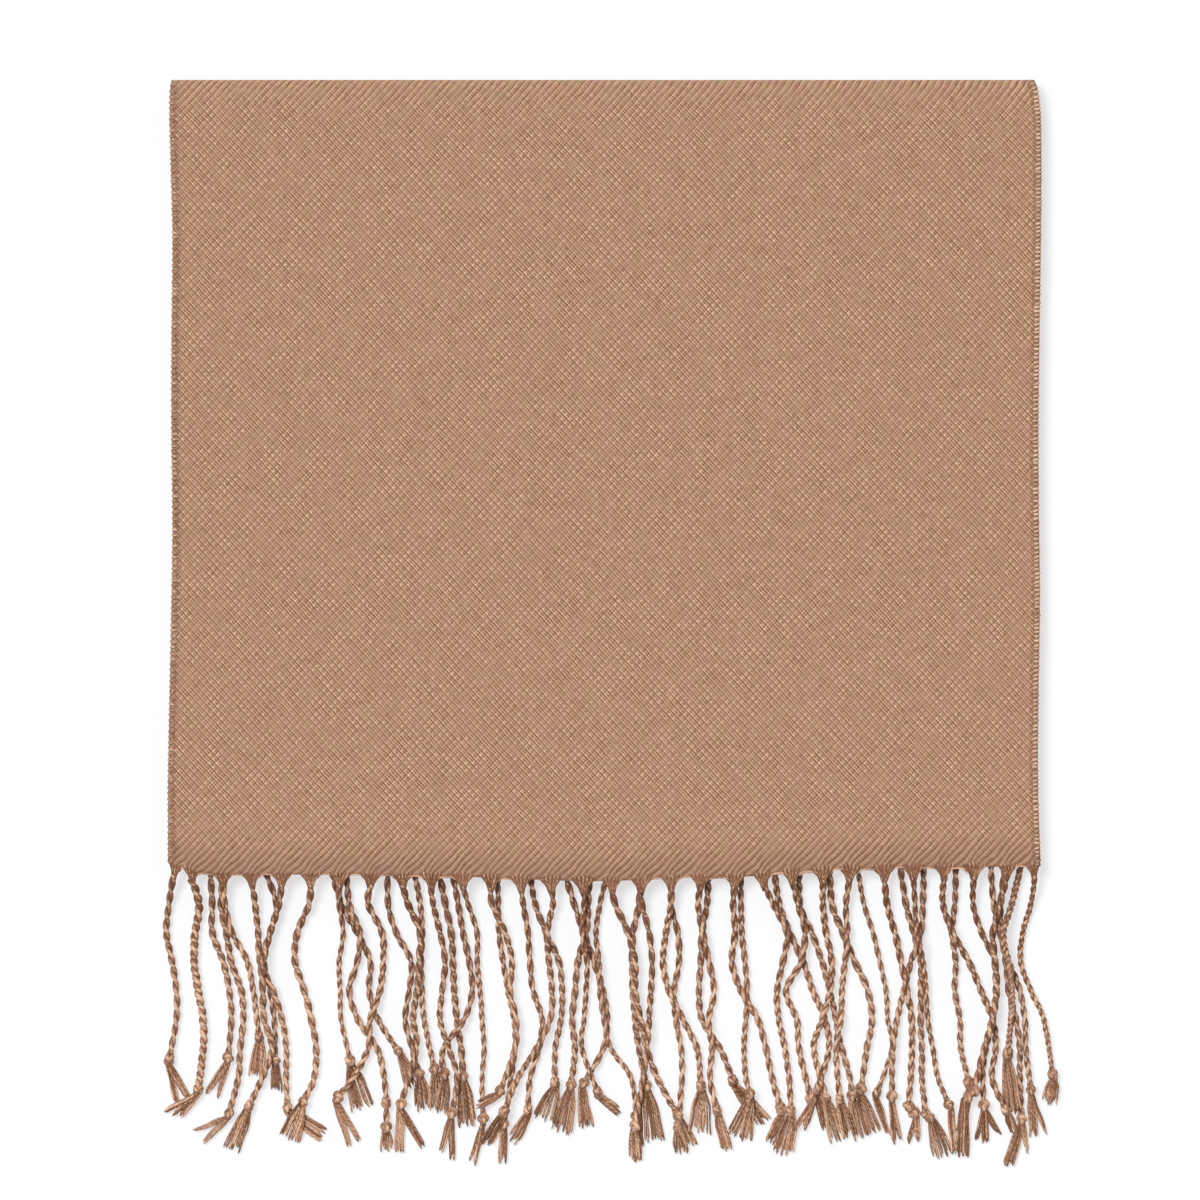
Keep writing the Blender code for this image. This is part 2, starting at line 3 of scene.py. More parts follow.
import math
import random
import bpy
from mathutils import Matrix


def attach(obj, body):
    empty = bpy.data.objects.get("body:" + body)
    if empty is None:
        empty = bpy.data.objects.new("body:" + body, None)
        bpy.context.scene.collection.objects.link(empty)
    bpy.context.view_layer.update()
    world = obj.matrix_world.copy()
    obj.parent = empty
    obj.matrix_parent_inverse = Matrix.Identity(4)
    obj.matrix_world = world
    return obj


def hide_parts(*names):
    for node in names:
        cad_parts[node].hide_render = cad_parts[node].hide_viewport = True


bl_info = {
    "name": "Bamboo scarf",
    "version": (1, 0, 0),
    "blender": (4, 5, 0),
    "location": "3D View > Sidebar > Scarf",
    "description": "Twill, side stitching and knotted fringes for the folded bamboo scarf",
    "category": "Object",
}

import bmesh
import bpy
from bpy.props import FloatProperty, FloatVectorProperty, IntProperty, PointerProperty
from mathutils import Matrix, Vector

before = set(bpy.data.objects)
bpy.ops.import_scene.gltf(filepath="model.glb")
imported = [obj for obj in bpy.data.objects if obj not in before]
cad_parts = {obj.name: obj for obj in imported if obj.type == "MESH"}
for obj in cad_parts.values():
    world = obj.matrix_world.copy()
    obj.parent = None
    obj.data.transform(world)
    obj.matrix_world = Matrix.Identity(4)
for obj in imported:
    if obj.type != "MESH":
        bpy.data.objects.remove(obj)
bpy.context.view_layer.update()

# ---------------------------------------------------------------- the scarf's places
MM = 0.001
TAU = 2.0 * math.pi
UP = Vector((0.0, 0.0, 1.0))

# The photo's places are read in its 1200 pixel frame. The cloth is 867 of its
# pixels wide, and 300 mm.
CLOTH_WIDTH = 300.0 * MM
PX = CLOTH_WIDTH / 867.0
MIDDLE_X_PX = 605.5
MIDDLE_Y_PX = 478.5
FOLD_Y_PX = 80.0
HEM_ROW_PX = 862.0
PHOTO_SIZE_PX = 1200.0

WALL = 1.0 * MM                     # of one layer of cloth
GAP = 0.3 * MM                      # between two layers
LAYER_PITCH = WALL + GAP
LAYER_COUNT = 6
FRONT_LAYER = 1
REAR_LAYER = 2

# How far the rear hem and the hidden folds lie inside the outline of the front layer.
REAR_HEM_SETBACK = 6.0 * MM
BOTTOM_FOLD_SETBACK = 11.0 * MM
MID_FOLD_SETBACK = 1.6 * MM
INNER_SETBACK = 0.5 * MM
WIDE_TURN = 1.5 * LAYER_PITCH       # middle radius of a fold round two layers
TIGHT_TURN = 0.5 * LAYER_PITCH      # and of a fold round nothing

# Side edges of the cloth, from the fold to the hem. Columns: row, left, right (px).
SIDE_ROWS = (
    (80, 171.5, 1034.0),
    (89, 170.5, 1037.3),
    (98, 170.0, 1038.9),
    (118, 170.0, 1040.4),
    (158, 171.0, 1041.0),
    (238, 173.0, 1040.5),
    (338, 172.0, 1039.0),
    (438, 172.0, 1038.0),
    (518, 173.0, 1038.5),
    (598, 172.0, 1039.5),
    (698, 170.0, 1038.0),
    (778, 168.5, 1037.5),
    (862, 168.5, 1040.0),
)

# The hem between the cords' roots, left to right. Columns: x, row (px).
HEM_ROWS = (
    (168, 863.0),
    (184, 868.0),
    (204, 872.5),
    (224, 874.0),
    (324, 874.5),
    (443, 876.0),
    (594, 881.0),
    (686, 877.5),
    (745, 876.5),
    (807, 871.0),
    (903, 868.0),
    (1041, 866.0),
)

# Rows of the photo where the cords' places are read, 10 mm apart.
STATION_ROWS_PX = (904, 933, 962, 991, 1020, 1049, 1078)

# One row for each cord, in the order in which they are laid. Columns, in pixels:
# root x; x at the station rows above its knot; knot x, row; tassel tip x, row, width.
REAR_CORDS = (
    (210, (212, 212, 223, 229, 231), (228, 1058), (211, 1096, 11)),
    (224, (221, 226, 231, 241, 243, 240, 238), (229, 1113), (198, 1138, 14)),
    (262, (276, 270, 264, 270, 274), (275, 1061), (276, 1093, 9)),
    (330, (341, 357, 370, 369, 378), (398, 1051), (411, 1088, 10)),
    (346, (349, 360, 357, 349, 358, 377, 384), (386, 1103), (387, 1153, 10)),
    (388, (388, 396, 411, 409, 405, 412), (419, 1074), (425, 1112, 14)),
    (413, (420, 422, 421, 422, 424), (434, 1069), (435, 1110, 11)),
    (438, (445, 451, 453, 454, 457, 461), (463, 1077), (467, 1127, 14)),
    (451, (458, 463, 469, 472, 464, 443), (444, 1074), (441, 1116, 12)),
    (498, (498, 499, 503, 508, 514, 515, 511), (504, 1124), (502, 1163, 6)),
    (530, (535, 546, 559, 562, 561, 555), (555, 1083), (543, 1122, 20)),
    (564, (574, 584, 594, 603, 607, 603), (584, 1083), (584, 1128, 16)),
    (590, (588, 586, 578, 575, 572, 575), (571, 1085), (561, 1133, 18)),
    (608, (600, 596, 599, 600, 604, 611, 631), (636, 1116), (642, 1150, 6)),
    (640, (639, 633, 632, 633, 635, 639), (646, 1086), (652, 1144, 24)),
    (673, (671, 678, 679, 674, 676, 681, 682), (678, 1127), (682, 1154, 14)),
    (709, (707, 702, 701, 699, 702, 720), (733, 1081), (766, 1123, 12)),
    (741, (741, 742, 745, 747, 746, 744, 746), (750, 1094), (740, 1142, 24)),
    (774, (779, 790, 803, 813, 825, 829), (818, 1089), (828, 1131, 9)),
    (800, (800, 812, 822, 830, 836, 842, 850), (852, 1096), (862, 1140, 14)),
    (830, (832, 843, 855, 868, 872, 867), (861, 1089), (876, 1135, 13)),
    (856, (864, 873, 880, 886, 888, 892), (877, 1093), (889, 1136, 4)),
    (899, (906, 914, 921, 921, 921, 922, 922), (926, 1114), (944, 1157, 16)),
    (924, (923, 921, 911, 904, 897, 893, 892), (892, 1096), (898, 1142, 10)),
    (956, (955, 952, 956, 955, 960, 961), (969, 1083), (960, 1136, 8)),
    (990, (994, 1000, 1009, 1020, 1025, 1026), (1031, 1090), (1036, 1133, 14)),
    (1006, (1001, 1001, 1006, 1009, 1016, 1020, 1020), (1022, 1119), (1011, 1165, 14)),
    (1023, (1012, 1003, 1008, 1012, 1011), (1008, 1054), (1014, 1115, 14)),
)

FRONT_CORDS = (
    (174, (169, 166, 172, 176, 176), (169, 1060), (183, 1106, 15)),
    (191, (199, 195, 194, 198, 203, 203), (198, 1090), (170, 1117, 16)),
    (223, (225, 232, 247, 253), (259, 1037), (257, 1077, 14)),
    (252, (255, 258, 260, 273, 282, 286, 286), (287, 1107), (324, 1135, 14)),
    (282, (279, 270, 262, 263, 264, 272, 262), (249, 1106), (230, 1150, 14)),
    (311, (309, 297, 295, 304, 311, 316, 314), (303, 1102), (288, 1140, 18)),
    (340, (339, 343, 339, 340, 341), (350, 1061), (364, 1109, 20)),
    (371, (368, 382, 383, 380, 370, 368, 353), (338, 1097), (353, 1144, 12)),
    (402, (408, 420, 419, 417, 413, 416), (401, 1104), (410, 1150, 28)),
    (431, (433, 440, 445, 442, 440, 449, 457), (452, 1113), (446, 1158, 13)),
    (462, (468, 477, 477, 480, 482, 484, 482), (483, 1119), (472, 1165, 6)),
    (491, (492, 505, 512, 510, 516, 515), (500, 1091), (476, 1107, 8)),
    (521, (523, 528, 530, 533, 542, 539, 530), (528, 1110), (511, 1143, 10)),
    (551, (553, 547, 549, 552, 550, 536, 518), (504, 1112), (485, 1147, 10)),
    (583, (584, 582, 587, 586, 584, 582), (598, 1093), (622, 1115, 7)),
    (612, (615, 628, 635, 635, 641, 647, 657), (678, 1116), (693, 1147, 10)),
    (641, (642, 649, 652, 651, 649, 647, 643), (635, 1126), (637, 1163, 11)),
    (671, (671, 666, 663, 669, 683, 697), (701, 1086), (698, 1134, 20)),
    (701, (698, 703, 709, 714, 709, 712, 710), (717, 1110), (728, 1153, 9)),
    (735, (733, 735, 732, 741, 758, 766, 772), (781, 1109), (769, 1143, 9)),
    (763, (773, 787, 783, 777, 779, 785, 789), (791, 1111), (782, 1156, 17)),
    (792, (798, 805, 801, 786, 797, 799), (811, 1099), (800, 1131, 14)),
    (823, (823, 826, 832, 830, 822, 814), (826, 1098), (840, 1141, 14)),
    (850, (846, 847, 845, 842, 841, 836), (840, 1099), (850, 1137, 12)),
    (884, (887, 895, 901, 907, 912, 912, 911), (909, 1106), (913, 1144, 13)),
    (913, (915, 917, 923, 926, 928, 933, 938), (949, 1105), (954, 1155, 5)),
    (944, (943, 953, 969, 981, 993, 996, 992), (1006, 1110), (1015, 1133, 8)),
    (974, (973, 982, 995, 997, 993, 986, 983), (984, 1105), (986, 1143, 22)),
    (1007, (1000, 993, 995, 996, 992, 984), (974, 1091), (963, 1157, 9)),
    (1035, (1031, 1023, 1021, 1031, 1044), (1053, 1075), (1049, 1106, 14)),
)

# Tassels whose threads part: root x, and for each lock its tip x, row and width (px).
REAR_LOCKS = {
    210: ((206, 1094, 7), (217, 1098, 5)),
    224: ((193, 1131, 5), (203, 1144, 6)),
    564: ((584, 1128, 14), (593, 1127, 3)),
    741: ((730, 1138, 12), (742, 1143, 10), (752, 1141, 5)),
    924: ((894, 1144, 5), (901, 1142, 5)),
    990: ((1034, 1137, 11), (1047, 1135, 3)),
    1006: ((1008, 1167, 13), (1028, 1155, 5)),
}
FRONT_LOCKS = {
    174: ((178, 1109, 7), (189, 1101, 8)),
    191: ((178, 1120, 6), (162, 1113, 6), (170, 1117, 6)),
    371: ((349, 1146, 6), (359, 1141, 6)),
    402: ((399, 1152, 12), (424, 1149, 8)),
    431: ((440, 1155, 7), (452, 1161, 7)),
    462: ((469, 1163, 4), (474, 1168, 3)),
    792: ((794, 1131, 6), (804, 1131, 8)),
    884: ((909, 1143, 7), (919, 1146, 6)),
    974: ((976, 1140, 6), (986, 1145, 9), (1000, 1135, 5)),
}

# Cords that aren't like the rest: root x, thickness and length of one turn, as shares of
# the usual. A negative length winds the cord the other way.
REAR_TWISTS = {1023: (1.05, 0.46), 856: (0.8, 0.9), 608: (0.85, 0.9), 498: (0.9, 0.9)}
FRONT_TWISTS = {
    174: (1.0, -1.0),
    191: (1.22, -0.66),
    340: (0.82, 0.95),
    462: (0.85, 0.9),
    583: (0.85, 0.95),
    913: (0.85, 0.9),
    1035: (0.88, 0.6),
}

# Second knots: root x, and the knot's x and row (px).
REAR_SECOND_KNOTS = {346: (386, 1127), 899: (930, 1118)}
FRONT_SECOND_KNOTS = {884: (914, 1113), 1007: (968, 1097)}


def along(x_px):
    """Distance to the right of the scarf's middle line."""
    return (x_px - MIDDLE_X_PX) * PX


def up(row_px):
    """Distance towards the top fold from the middle of the folded cloth."""
    return (MIDDLE_Y_PX - row_px) * PX


FOLD_Y = up(FOLD_Y_PX)
HEM_Y = up(HEM_ROW_PX)
TOP_CENTRE_Y = FOLD_Y - WIDE_TURN - WALL / 2.0


def read(table, place, column):
    """A table's column at a place in its first column, on one smooth curve."""
    last = len(table) - 2
    k = 0
    while k < last and place > table[k + 1][0]:
        k += 1
    before = table[max(k - 1, 0)]
    low = table[k]
    high = table[k + 1]
    after = table[min(k + 2, last + 1)]
    span = high[0] - low[0]
    t = min(max((place - low[0]) / span, 0.0), 1.0)
    slope_low = (high[column] - before[column]) / max(high[0] - before[0], 1e-9) * span
    slope_high = (after[column] - low[column]) / max(after[0] - low[0], 1e-9) * span
    return (
        (2 * t**3 - 3 * t**2 + 1) * low[column]
        + (t**3 - 2 * t**2 + t) * slope_low
        + (3 * t**2 - 2 * t**3) * high[column]
        + (t**3 - t**2) * slope_high
    )


def side(y, share):
    """Sideways place at a height y: share 0 is the left edge, 1 the right one."""
    row = MIDDLE_Y_PX - y / PX
    left = along(read(SIDE_ROWS, row, 1))
    right = along(read(SIDE_ROWS, row, 2))
    return left + (right - left) * share


def hem(x):
    """Height y of the front end's hem at a sideways place x."""
    return up(read(HEM_ROWS, x / PX + MIDDLE_X_PX, 1))


def layer_middle(layer):
    """Middle height of a layer, counted from 1 at the top to 6 at the floor."""
    return (LAYER_COUNT - layer) * LAYER_PITCH + WALL / 2.0


def smooth_step(low, high, value):
    """0 below low, 1 above high, and smooth between them."""
    t = min(max((value - low) / (high - low), 0.0), 1.0)
    return t * t * (3.0 - 2.0 * t)


# ---------------------------------------------------------------- what a user can change
class ScarfClothSizes(bpy.types.PropertyGroup):
    columns: IntProperty(
        name="Columns", description="Faces across the cloth", default=240, min=20
    )
    hem_pucker: FloatProperty(
        name="Hem pucker",
        description="Height of the ripples that the cords' roots draw into the hem",
        default=0.3 * MM,
        unit="LENGTH",
    )
    hem_draw: FloatProperty(
        name="Hem draw",
        description="How far the cords' roots draw the cloth sideways at the hem",
        default=0.85 * MM,
        unit="LENGTH",
    )
    figure_width: FloatProperty(
        name="Figure width",
        description="Width of one repeat of the twill",
        default=2.6 * MM,
        unit="LENGTH",
    )
    figure_length: FloatProperty(
        name="Figure length",
        description="Length of one repeat of the twill",
        default=2.8 * MM,
        unit="LENGTH",
    )
    stitch_pitch: FloatProperty(
        name="Stitch pitch",
        description="Distance between two side stitches",
        default=1.46 * MM,
        unit="LENGTH",
    )
    stitch_depth: FloatProperty(
        name="Stitch depth",
        description="How far a side stitch reaches into the cloth",
        default=2.1 * MM,
        unit="LENGTH",
    )


class ScarfFringeSizes(bpy.types.PropertyGroup):
    ply_radius: FloatProperty(
        name="Ply radius",
        description="Radius of each of a cord's two plies",
        default=0.735 * MM,
        unit="LENGTH",
    )
    ply_offset: FloatProperty(
        name="Ply offset",
        description="Distance of a ply from its cord's middle",
        default=0.545 * MM,
        unit="LENGTH",
    )
    twist_length: FloatProperty(
        name="Twist length",
        description="Length of one full turn of a cord",
        default=9.6 * MM,
        unit="LENGTH",
    )
    thread_radius: FloatProperty(
        name="Thread radius",
        description="Radius of a tassel's threads",
        default=0.42 * MM,
        unit="LENGTH",
    )


class ScarfColours(bpy.types.PropertyGroup):
    # Raised and sunken twill colours: painted light on the threads' tops and painted shade
    # between them
    twill_light: FloatVectorProperty(
        name="Twill, raised",
        description="Colour of the twill's raised threads",
        default=(0.676, 0.392, 0.236),
        subtype="COLOR",
        min=0.0,
        max=1.0,
    )
    twill_dark: FloatVectorProperty(
        name="Twill, sunken",
        description="Colour between the twill's threads",
        default=(0.235, 0.106, 0.050),
        subtype="COLOR",
        min=0.0,
        max=1.0,
    )
    # Lit and shaded yarn colours: their mix carries painted highlights and painted shade besides
    # the yarn's own tones
    yarn_light: FloatVectorProperty(
        name="Yarn, lit",
        description="Lighter colour of the cords and tassels",
        default=(0.945, 0.595, 0.388),
        subtype="COLOR",
        min=0.0,
        max=1.0,
    )
    yarn_dark: FloatVectorProperty(
        name="Yarn, shaded",
        description="Darker colour of the cords and tassels",
        default=(0.21, 0.080, 0.031),
        subtype="COLOR",
        min=0.0,
        max=1.0,
    )
    # Lit and shaded stitching colours: the same painted highlights and painted shade as the yarn
    stitch_light: FloatVectorProperty(
        name="Stitching, lit",
        description="Lighter colour of the side stitches",
        default=(0.97, 0.665, 0.455),
        subtype="COLOR",
        min=0.0,
        max=1.0,
    )
    stitch_dark: FloatVectorProperty(
        name="Stitching, shaded",
        description="Darker colour of the side stitches",
        default=(0.37, 0.178, 0.098),
        subtype="COLOR",
        min=0.0,
        max=1.0,
    )
    floor: FloatVectorProperty(
        name="Floor",
        description="Colour of the floor before its glow is added",
        default=(0.40, 0.41, 0.425),
        subtype="COLOR",
        min=0.0,
        max=1.0,
    )


# ---------------------------------------------------------------- finishes
# Tints that lie over the twill and the yarns, in linear light. The twill's glint is a painted
# highlight; the hem and seam shades and the shade between strands are painted shade.
TWILL_GLINT = (0.98, 0.74, 0.55)
TWILL_ROSY = (0.49, 0.235, 0.175)
TWILL_GOLDEN = (0.42, 0.275, 0.135)
TWILL_HEM_SHADE = (0.20, 0.088, 0.056)
TWILL_SEAM_SHADE = (0.17, 0.076, 0.042)
NEEDLE_HOLE = (0.16, 0.08, 0.045)
YARN_ROSY = (0.42, 0.185, 0.13)
YARN_GOLDEN = (0.40, 0.235, 0.10)
YARN_CREVICE_SHADE = (0.12, 0.045, 0.024)

SHEEN_ROUGHNESS = 0.45
YARN_SPECULAR = 0.38
YARN_STRIPES = 2.0                  # lighter fibres side by side round one strand
YARN_STRIPE_LENGTH = 1.9 * MM       # along a strand from one stripe to the next
SEAM_REACH = 2.5 * MM               # of the side stitching's needle line from the edge


class Value:
    """A shader socket that takes part in Python expressions, each one a Math node."""

    def __init__(self, finish, socket):
        self.finish = finish
        self.socket = socket

    def maths(self, operation, *others):
        inputs = {0: self}
        for k, other in enumerate(others):
            inputs[k + 1] = other
        node = self.finish.node("ShaderNodeMath", {"operation": operation}, inputs)
        return Value(self.finish, node.outputs[0])

    def __add__(self, other):
        return self.maths("ADD", other)

    __radd__ = __add__

    def __sub__(self, other):
        return self.maths("SUBTRACT", other)

    def __rsub__(self, other):
        return (self * -1.0) + other

    def __mul__(self, other):
        return self.maths("MULTIPLY", other)

    __rmul__ = __mul__

    def __truediv__(self, other):
        return self.maths("DIVIDE", other)

    def sine(self):
        return self.maths("SINE")

    def size(self):
        return self.maths("ABSOLUTE")

    def ramp(self, low, high):
        """0 below low, 1 above high, and smooth between them."""
        node = self.finish.node(
            "ShaderNodeMapRange",
            {"interpolation_type": "SMOOTHSTEP"},
            {"Value": self, "From Min": low, "From Max": high},
        )
        return Value(self.finish, node.outputs[0])


class Finish:
    """A material with a Principled shader, and one method that makes its nodes."""

    def __init__(self, name, roughness, sheen=0.0):
        self.material = bpy.data.materials.new(name)
        self.material.use_nodes = True
        self.nodes = self.material.node_tree.nodes
        self.links = self.material.node_tree.links
        self.shader = self.nodes["Principled BSDF"]
        self.shader.inputs["Roughness"].default_value = roughness
        self.shader.inputs["Sheen Weight"].default_value = sheen
        self.shader.inputs["Sheen Roughness"].default_value = SHEEN_ROUGHNESS

    def feed(self, socket, value):
        """Link a value to a socket, or set the socket to a number."""
        if isinstance(value, Value):
            value = value.socket
        if isinstance(value, bpy.types.NodeSocket):
            self.links.new(value, socket)
        else:
            socket.default_value = value

    def node(self, kind, settings=None, inputs=None):
        """A node with its settings, which come first, and what feeds its sockets."""
        node = self.nodes.new(kind)
        for key, value in (settings or {}).items():
            setattr(node, key, value)
        for key, value in (inputs or {}).items():
            self.feed(node.inputs[key], value)
        return node

    def uv(self):
        """The piece's own UV map, as two values."""
        uv_map = self.node("ShaderNodeUVMap", {"uv_map": "UVMap"})
        parts = self.node("ShaderNodeSeparateXYZ", None, {0: uv_map.outputs[0]})
        return Value(self, parts.outputs[0]), Value(self, parts.outputs[1])

    def attribute(self, name):
        """A number that each point of the mesh carries."""
        node = self.node("ShaderNodeAttribute", {"attribute_name": name})
        return Value(self, node.outputs["Fac"])

    def noise(self, scale, detail=2.0, vector=None):
        """Soft noise from 0 to 1, with about scale patches along each unit of its vector."""
        inputs = {"Scale": scale, "Detail": detail}
        if vector is None:
            vector = self.node("ShaderNodeTexCoord").outputs["Object"]
        inputs["Vector"] = vector
        return Value(self, self.node("ShaderNodeTexNoise", None, inputs).outputs[0])

    def join(self, x, y, z=0.0):
        """A vector of three values."""
        return self.node("ShaderNodeCombineXYZ", None, {0: x, 1: y, 2: z}).outputs[0]

    def mix(self, share, low, high):
        """A colour between two others, each a socket or three numbers."""
        node = self.node("ShaderNodeMix", {"data_type": "RGBA"})
        self.feed(node.inputs["Factor"], share)
        for key, colour in (("A", low), ("B", high)):
            sockets = [s for s in node.inputs if s.name == key and s.type == "RGBA"]
            if isinstance(colour, bpy.types.NodeSocket):
                self.links.new(colour, sockets[0])
            else:
                sockets[0].default_value = (*colour, 1.0)
        return next(s for s in node.outputs if s.type == "RGBA")

    def colour(self, socket):
        """Give the shader its base colour."""
        self.links.new(socket, self.shader.inputs["Base Color"])

    def relief(self, height, depth, strength=1.0):
        """Bumps of a real depth in metres, from a height between 0 and 1."""
        bump = self.node(
            "ShaderNodeBump", None, {"Strength": strength, "Distance": depth, "Height": height}
        )
        self.links.new(bump.outputs[0], self.shader.inputs["Normal"])


def twill_finish(sizes, colours):
    """Small-figured twill: fine ribs that cross, with painted glints where they stand up and
    painted shade between the threads.

    Ribs that fall to the right lead on the open cloth. Near the hem and the top fold
    the wider ribs that rise to the right take over.
    """
    finish = Finish("twill", 0.66, 0.12)
    edge_share = finish.attribute("edge_share")
    hem_shadow = finish.attribute("hem_shadow")
    open_share = 1.0 - edge_share
    near_fold = edge_share - hem_shadow

    # the threads' ways across and down the cloth, which wander a little
    u, v = finish.uv()
    wander = finish.noise(55.0, 2.0) - 0.5
    cross = u * (TAU / sizes.figure_width) + wander * 1.6
    down = v * (TAU / sizes.figure_length) + wander * 0.8
    falling = cross - down
    rising = cross + down
    crests = falling.sine() + rising.sine()

    # the ribs, broken up by noise
    patch = finish.noise(120.0, 2.0).ramp(0.35, 0.65)
    uneven = finish.noise(340.0, 2.0) - 0.5
    dash = finish.noise(560.0, 2.0, finish.join(u, v, 2.0)).ramp(0.36, 0.62)
    fine_falling = (falling * 2.0 + uneven * 2.6).sine() * (dash * 0.62 + 0.40)
    fine_falling = fine_falling * (patch * 0.2 + 0.8) * (open_share * 0.7 + 0.3)
    fine_rising = (rising * 2.0 - uneven * 2.0).sine() * (0.34 - patch * 0.22 + edge_share * 0.1)
    eyes = crests * 0.25 * open_share
    wide = (rising + uneven * 1.2).sine() * (edge_share * 0.42 + hem_shadow * 0.3)
    figure = fine_falling + fine_rising + eyes + wide

    # the colour: threads with painted shade between them, painted glints, and rosy and golden
    # patches
    fibre = finish.noise(1500.0, 2.0) - 0.5
    slub = finish.noise(420.0, 1.0) - 0.5
    # the mix of raised and sunken colour paints the weave's light and shade; fibre and slub are
    # the yarn's own
    light = figure + fibre * 0.9 + slub * 0.8 + 0.48
    shade = finish.mix(light, colours.twill_dark, colours.twill_light)
    # painted glints where the ribs' crests cross
    glint_share = crests.ramp(1.15, 1.85) * finish.noise(330.0, 2.0).ramp(0.42, 0.62)
    shade = finish.mix(glint_share * (0.75 - edge_share * 0.5), shade, TWILL_GLINT)
    rosy = finish.noise(170.0, 3.0).ramp(0.42, 0.62)
    toned = finish.mix(rosy * 0.26, shade, TWILL_ROSY)
    golden = finish.noise(130.0, 3.0, finish.join(u, v * 1.3, 4.0)).ramp(0.46, 0.66)
    toned = finish.mix(golden * (near_fold * 0.22 + 0.24), toned, TWILL_GOLDEN)
    deep = finish.mix(hem_shadow * 0.40, toned, TWILL_HEM_SHADE)

    # painted shade in the strip under the side stitches, and the needle holes along it
    seam_line = CLOTH_WIDTH / 2.0 - SEAM_REACH
    needle = (u.size() - seam_line).size()
    needle_line = 1.0 - needle.ramp(0.1 * MM, 0.5 * MM)
    seam = u.size().ramp(seam_line, seam_line + 0.5 * MM)
    right = u.ramp(-50.0 * MM, 50.0 * MM)
    deep = finish.mix(seam * (right * 0.2 + 0.25), deep, TWILL_SEAM_SHADE)
    dashes = (v * (TAU / sizes.stitch_pitch) * (right * 0.25 + 0.75)).sine() * 0.5 + 0.5
    needle_share = needle_line * dashes * (right * 0.15 + 0.5)
    finish.colour(finish.mix(needle_share, deep, NEEDLE_HOLE))
    finish.relief(figure * 0.5 + 0.5, 0.14 * MM, 0.7)
    return finish.material


def yarn_finish(name, dark, lit, contrast):
    """Silky twisted yarn: lighter fibres along each strand, a painted highlight on the upper
    strand's top and painted shade where strands meet.

    contrast is the strength of the fibres' stripes.
    """
    finish = Finish(name, 0.46, 0.10)
    finish.shader.inputs["Specular IOR Level"].default_value = YARN_SPECULAR
    u, v = finish.uv()
    tone = finish.attribute("tone")
    crevice_shade = finish.attribute("crevice_shade")
    painted_highlight = finish.attribute("painted_highlight")
    ribs = ((u * YARN_STRIPES + v / YARN_STRIPE_LENGTH) * TAU).sine()
    fibre = finish.noise(1900.0, 2.0) - 0.5
    streak = finish.noise(1.0, 3.0, finish.join(u * 5.0, v * 190.0, tone * 37.0)) - 0.5
    lobe = finish.noise(420.0, 1.0) - 0.5
    # painted highlight on the upper strands' tops, over the yarn's own stripes, streaks and
    # tones
    light = ribs * (painted_highlight * 0.30 + 0.10) * contrast + streak * 1.9 + fibre * 0.5
    light = light + lobe * 0.6 + tone * 0.8 + painted_highlight * 0.60
    colour = finish.mix(light - 0.04, dark, lit)
    rosy = finish.noise(110.0, 1.0).ramp(0.42, 0.6)
    colour = finish.mix(rosy * 0.28, colour, YARN_ROSY)
    golden = finish.noise(85.0, 1.0, finish.join(u, v, tone * 9.0)).ramp(0.5, 0.68)
    colour = finish.mix(golden * 0.25, colour, YARN_GOLDEN)
    # painted shade where strands meet and on their undersides
    finish.colour(finish.mix(crevice_shade * 0.72, colour, YARN_CREVICE_SHADE))
    finish.relief(ribs * 0.3 + streak + 0.5, 0.10 * MM, 0.6)
    return finish.material


# ---------------------------------------------------------------- making meshes
def finished_piece(name, whole, material, nodes):
    """An object from a bmesh, on the scarf's one body, in place of the CAD nodes."""
    mesh = bpy.data.meshes.new(name)
    whole.to_mesh(mesh)
    whole.free()
    mesh.shade_smooth()
    mesh.materials.append(material)
    piece = bpy.data.objects.new(name, mesh)
    bpy.context.scene.collection.objects.link(piece)
    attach(piece, "root")
    if nodes:
        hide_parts(*nodes)
    return piece


TONE_HASTE = 1.8                    # a strand reaches its last tone 1 / 1.8 of the way along
LOOSE_PAINTED_HIGHLIGHT = 0.42                  # how far a strand alone counts as an upper one, for its painted highlight


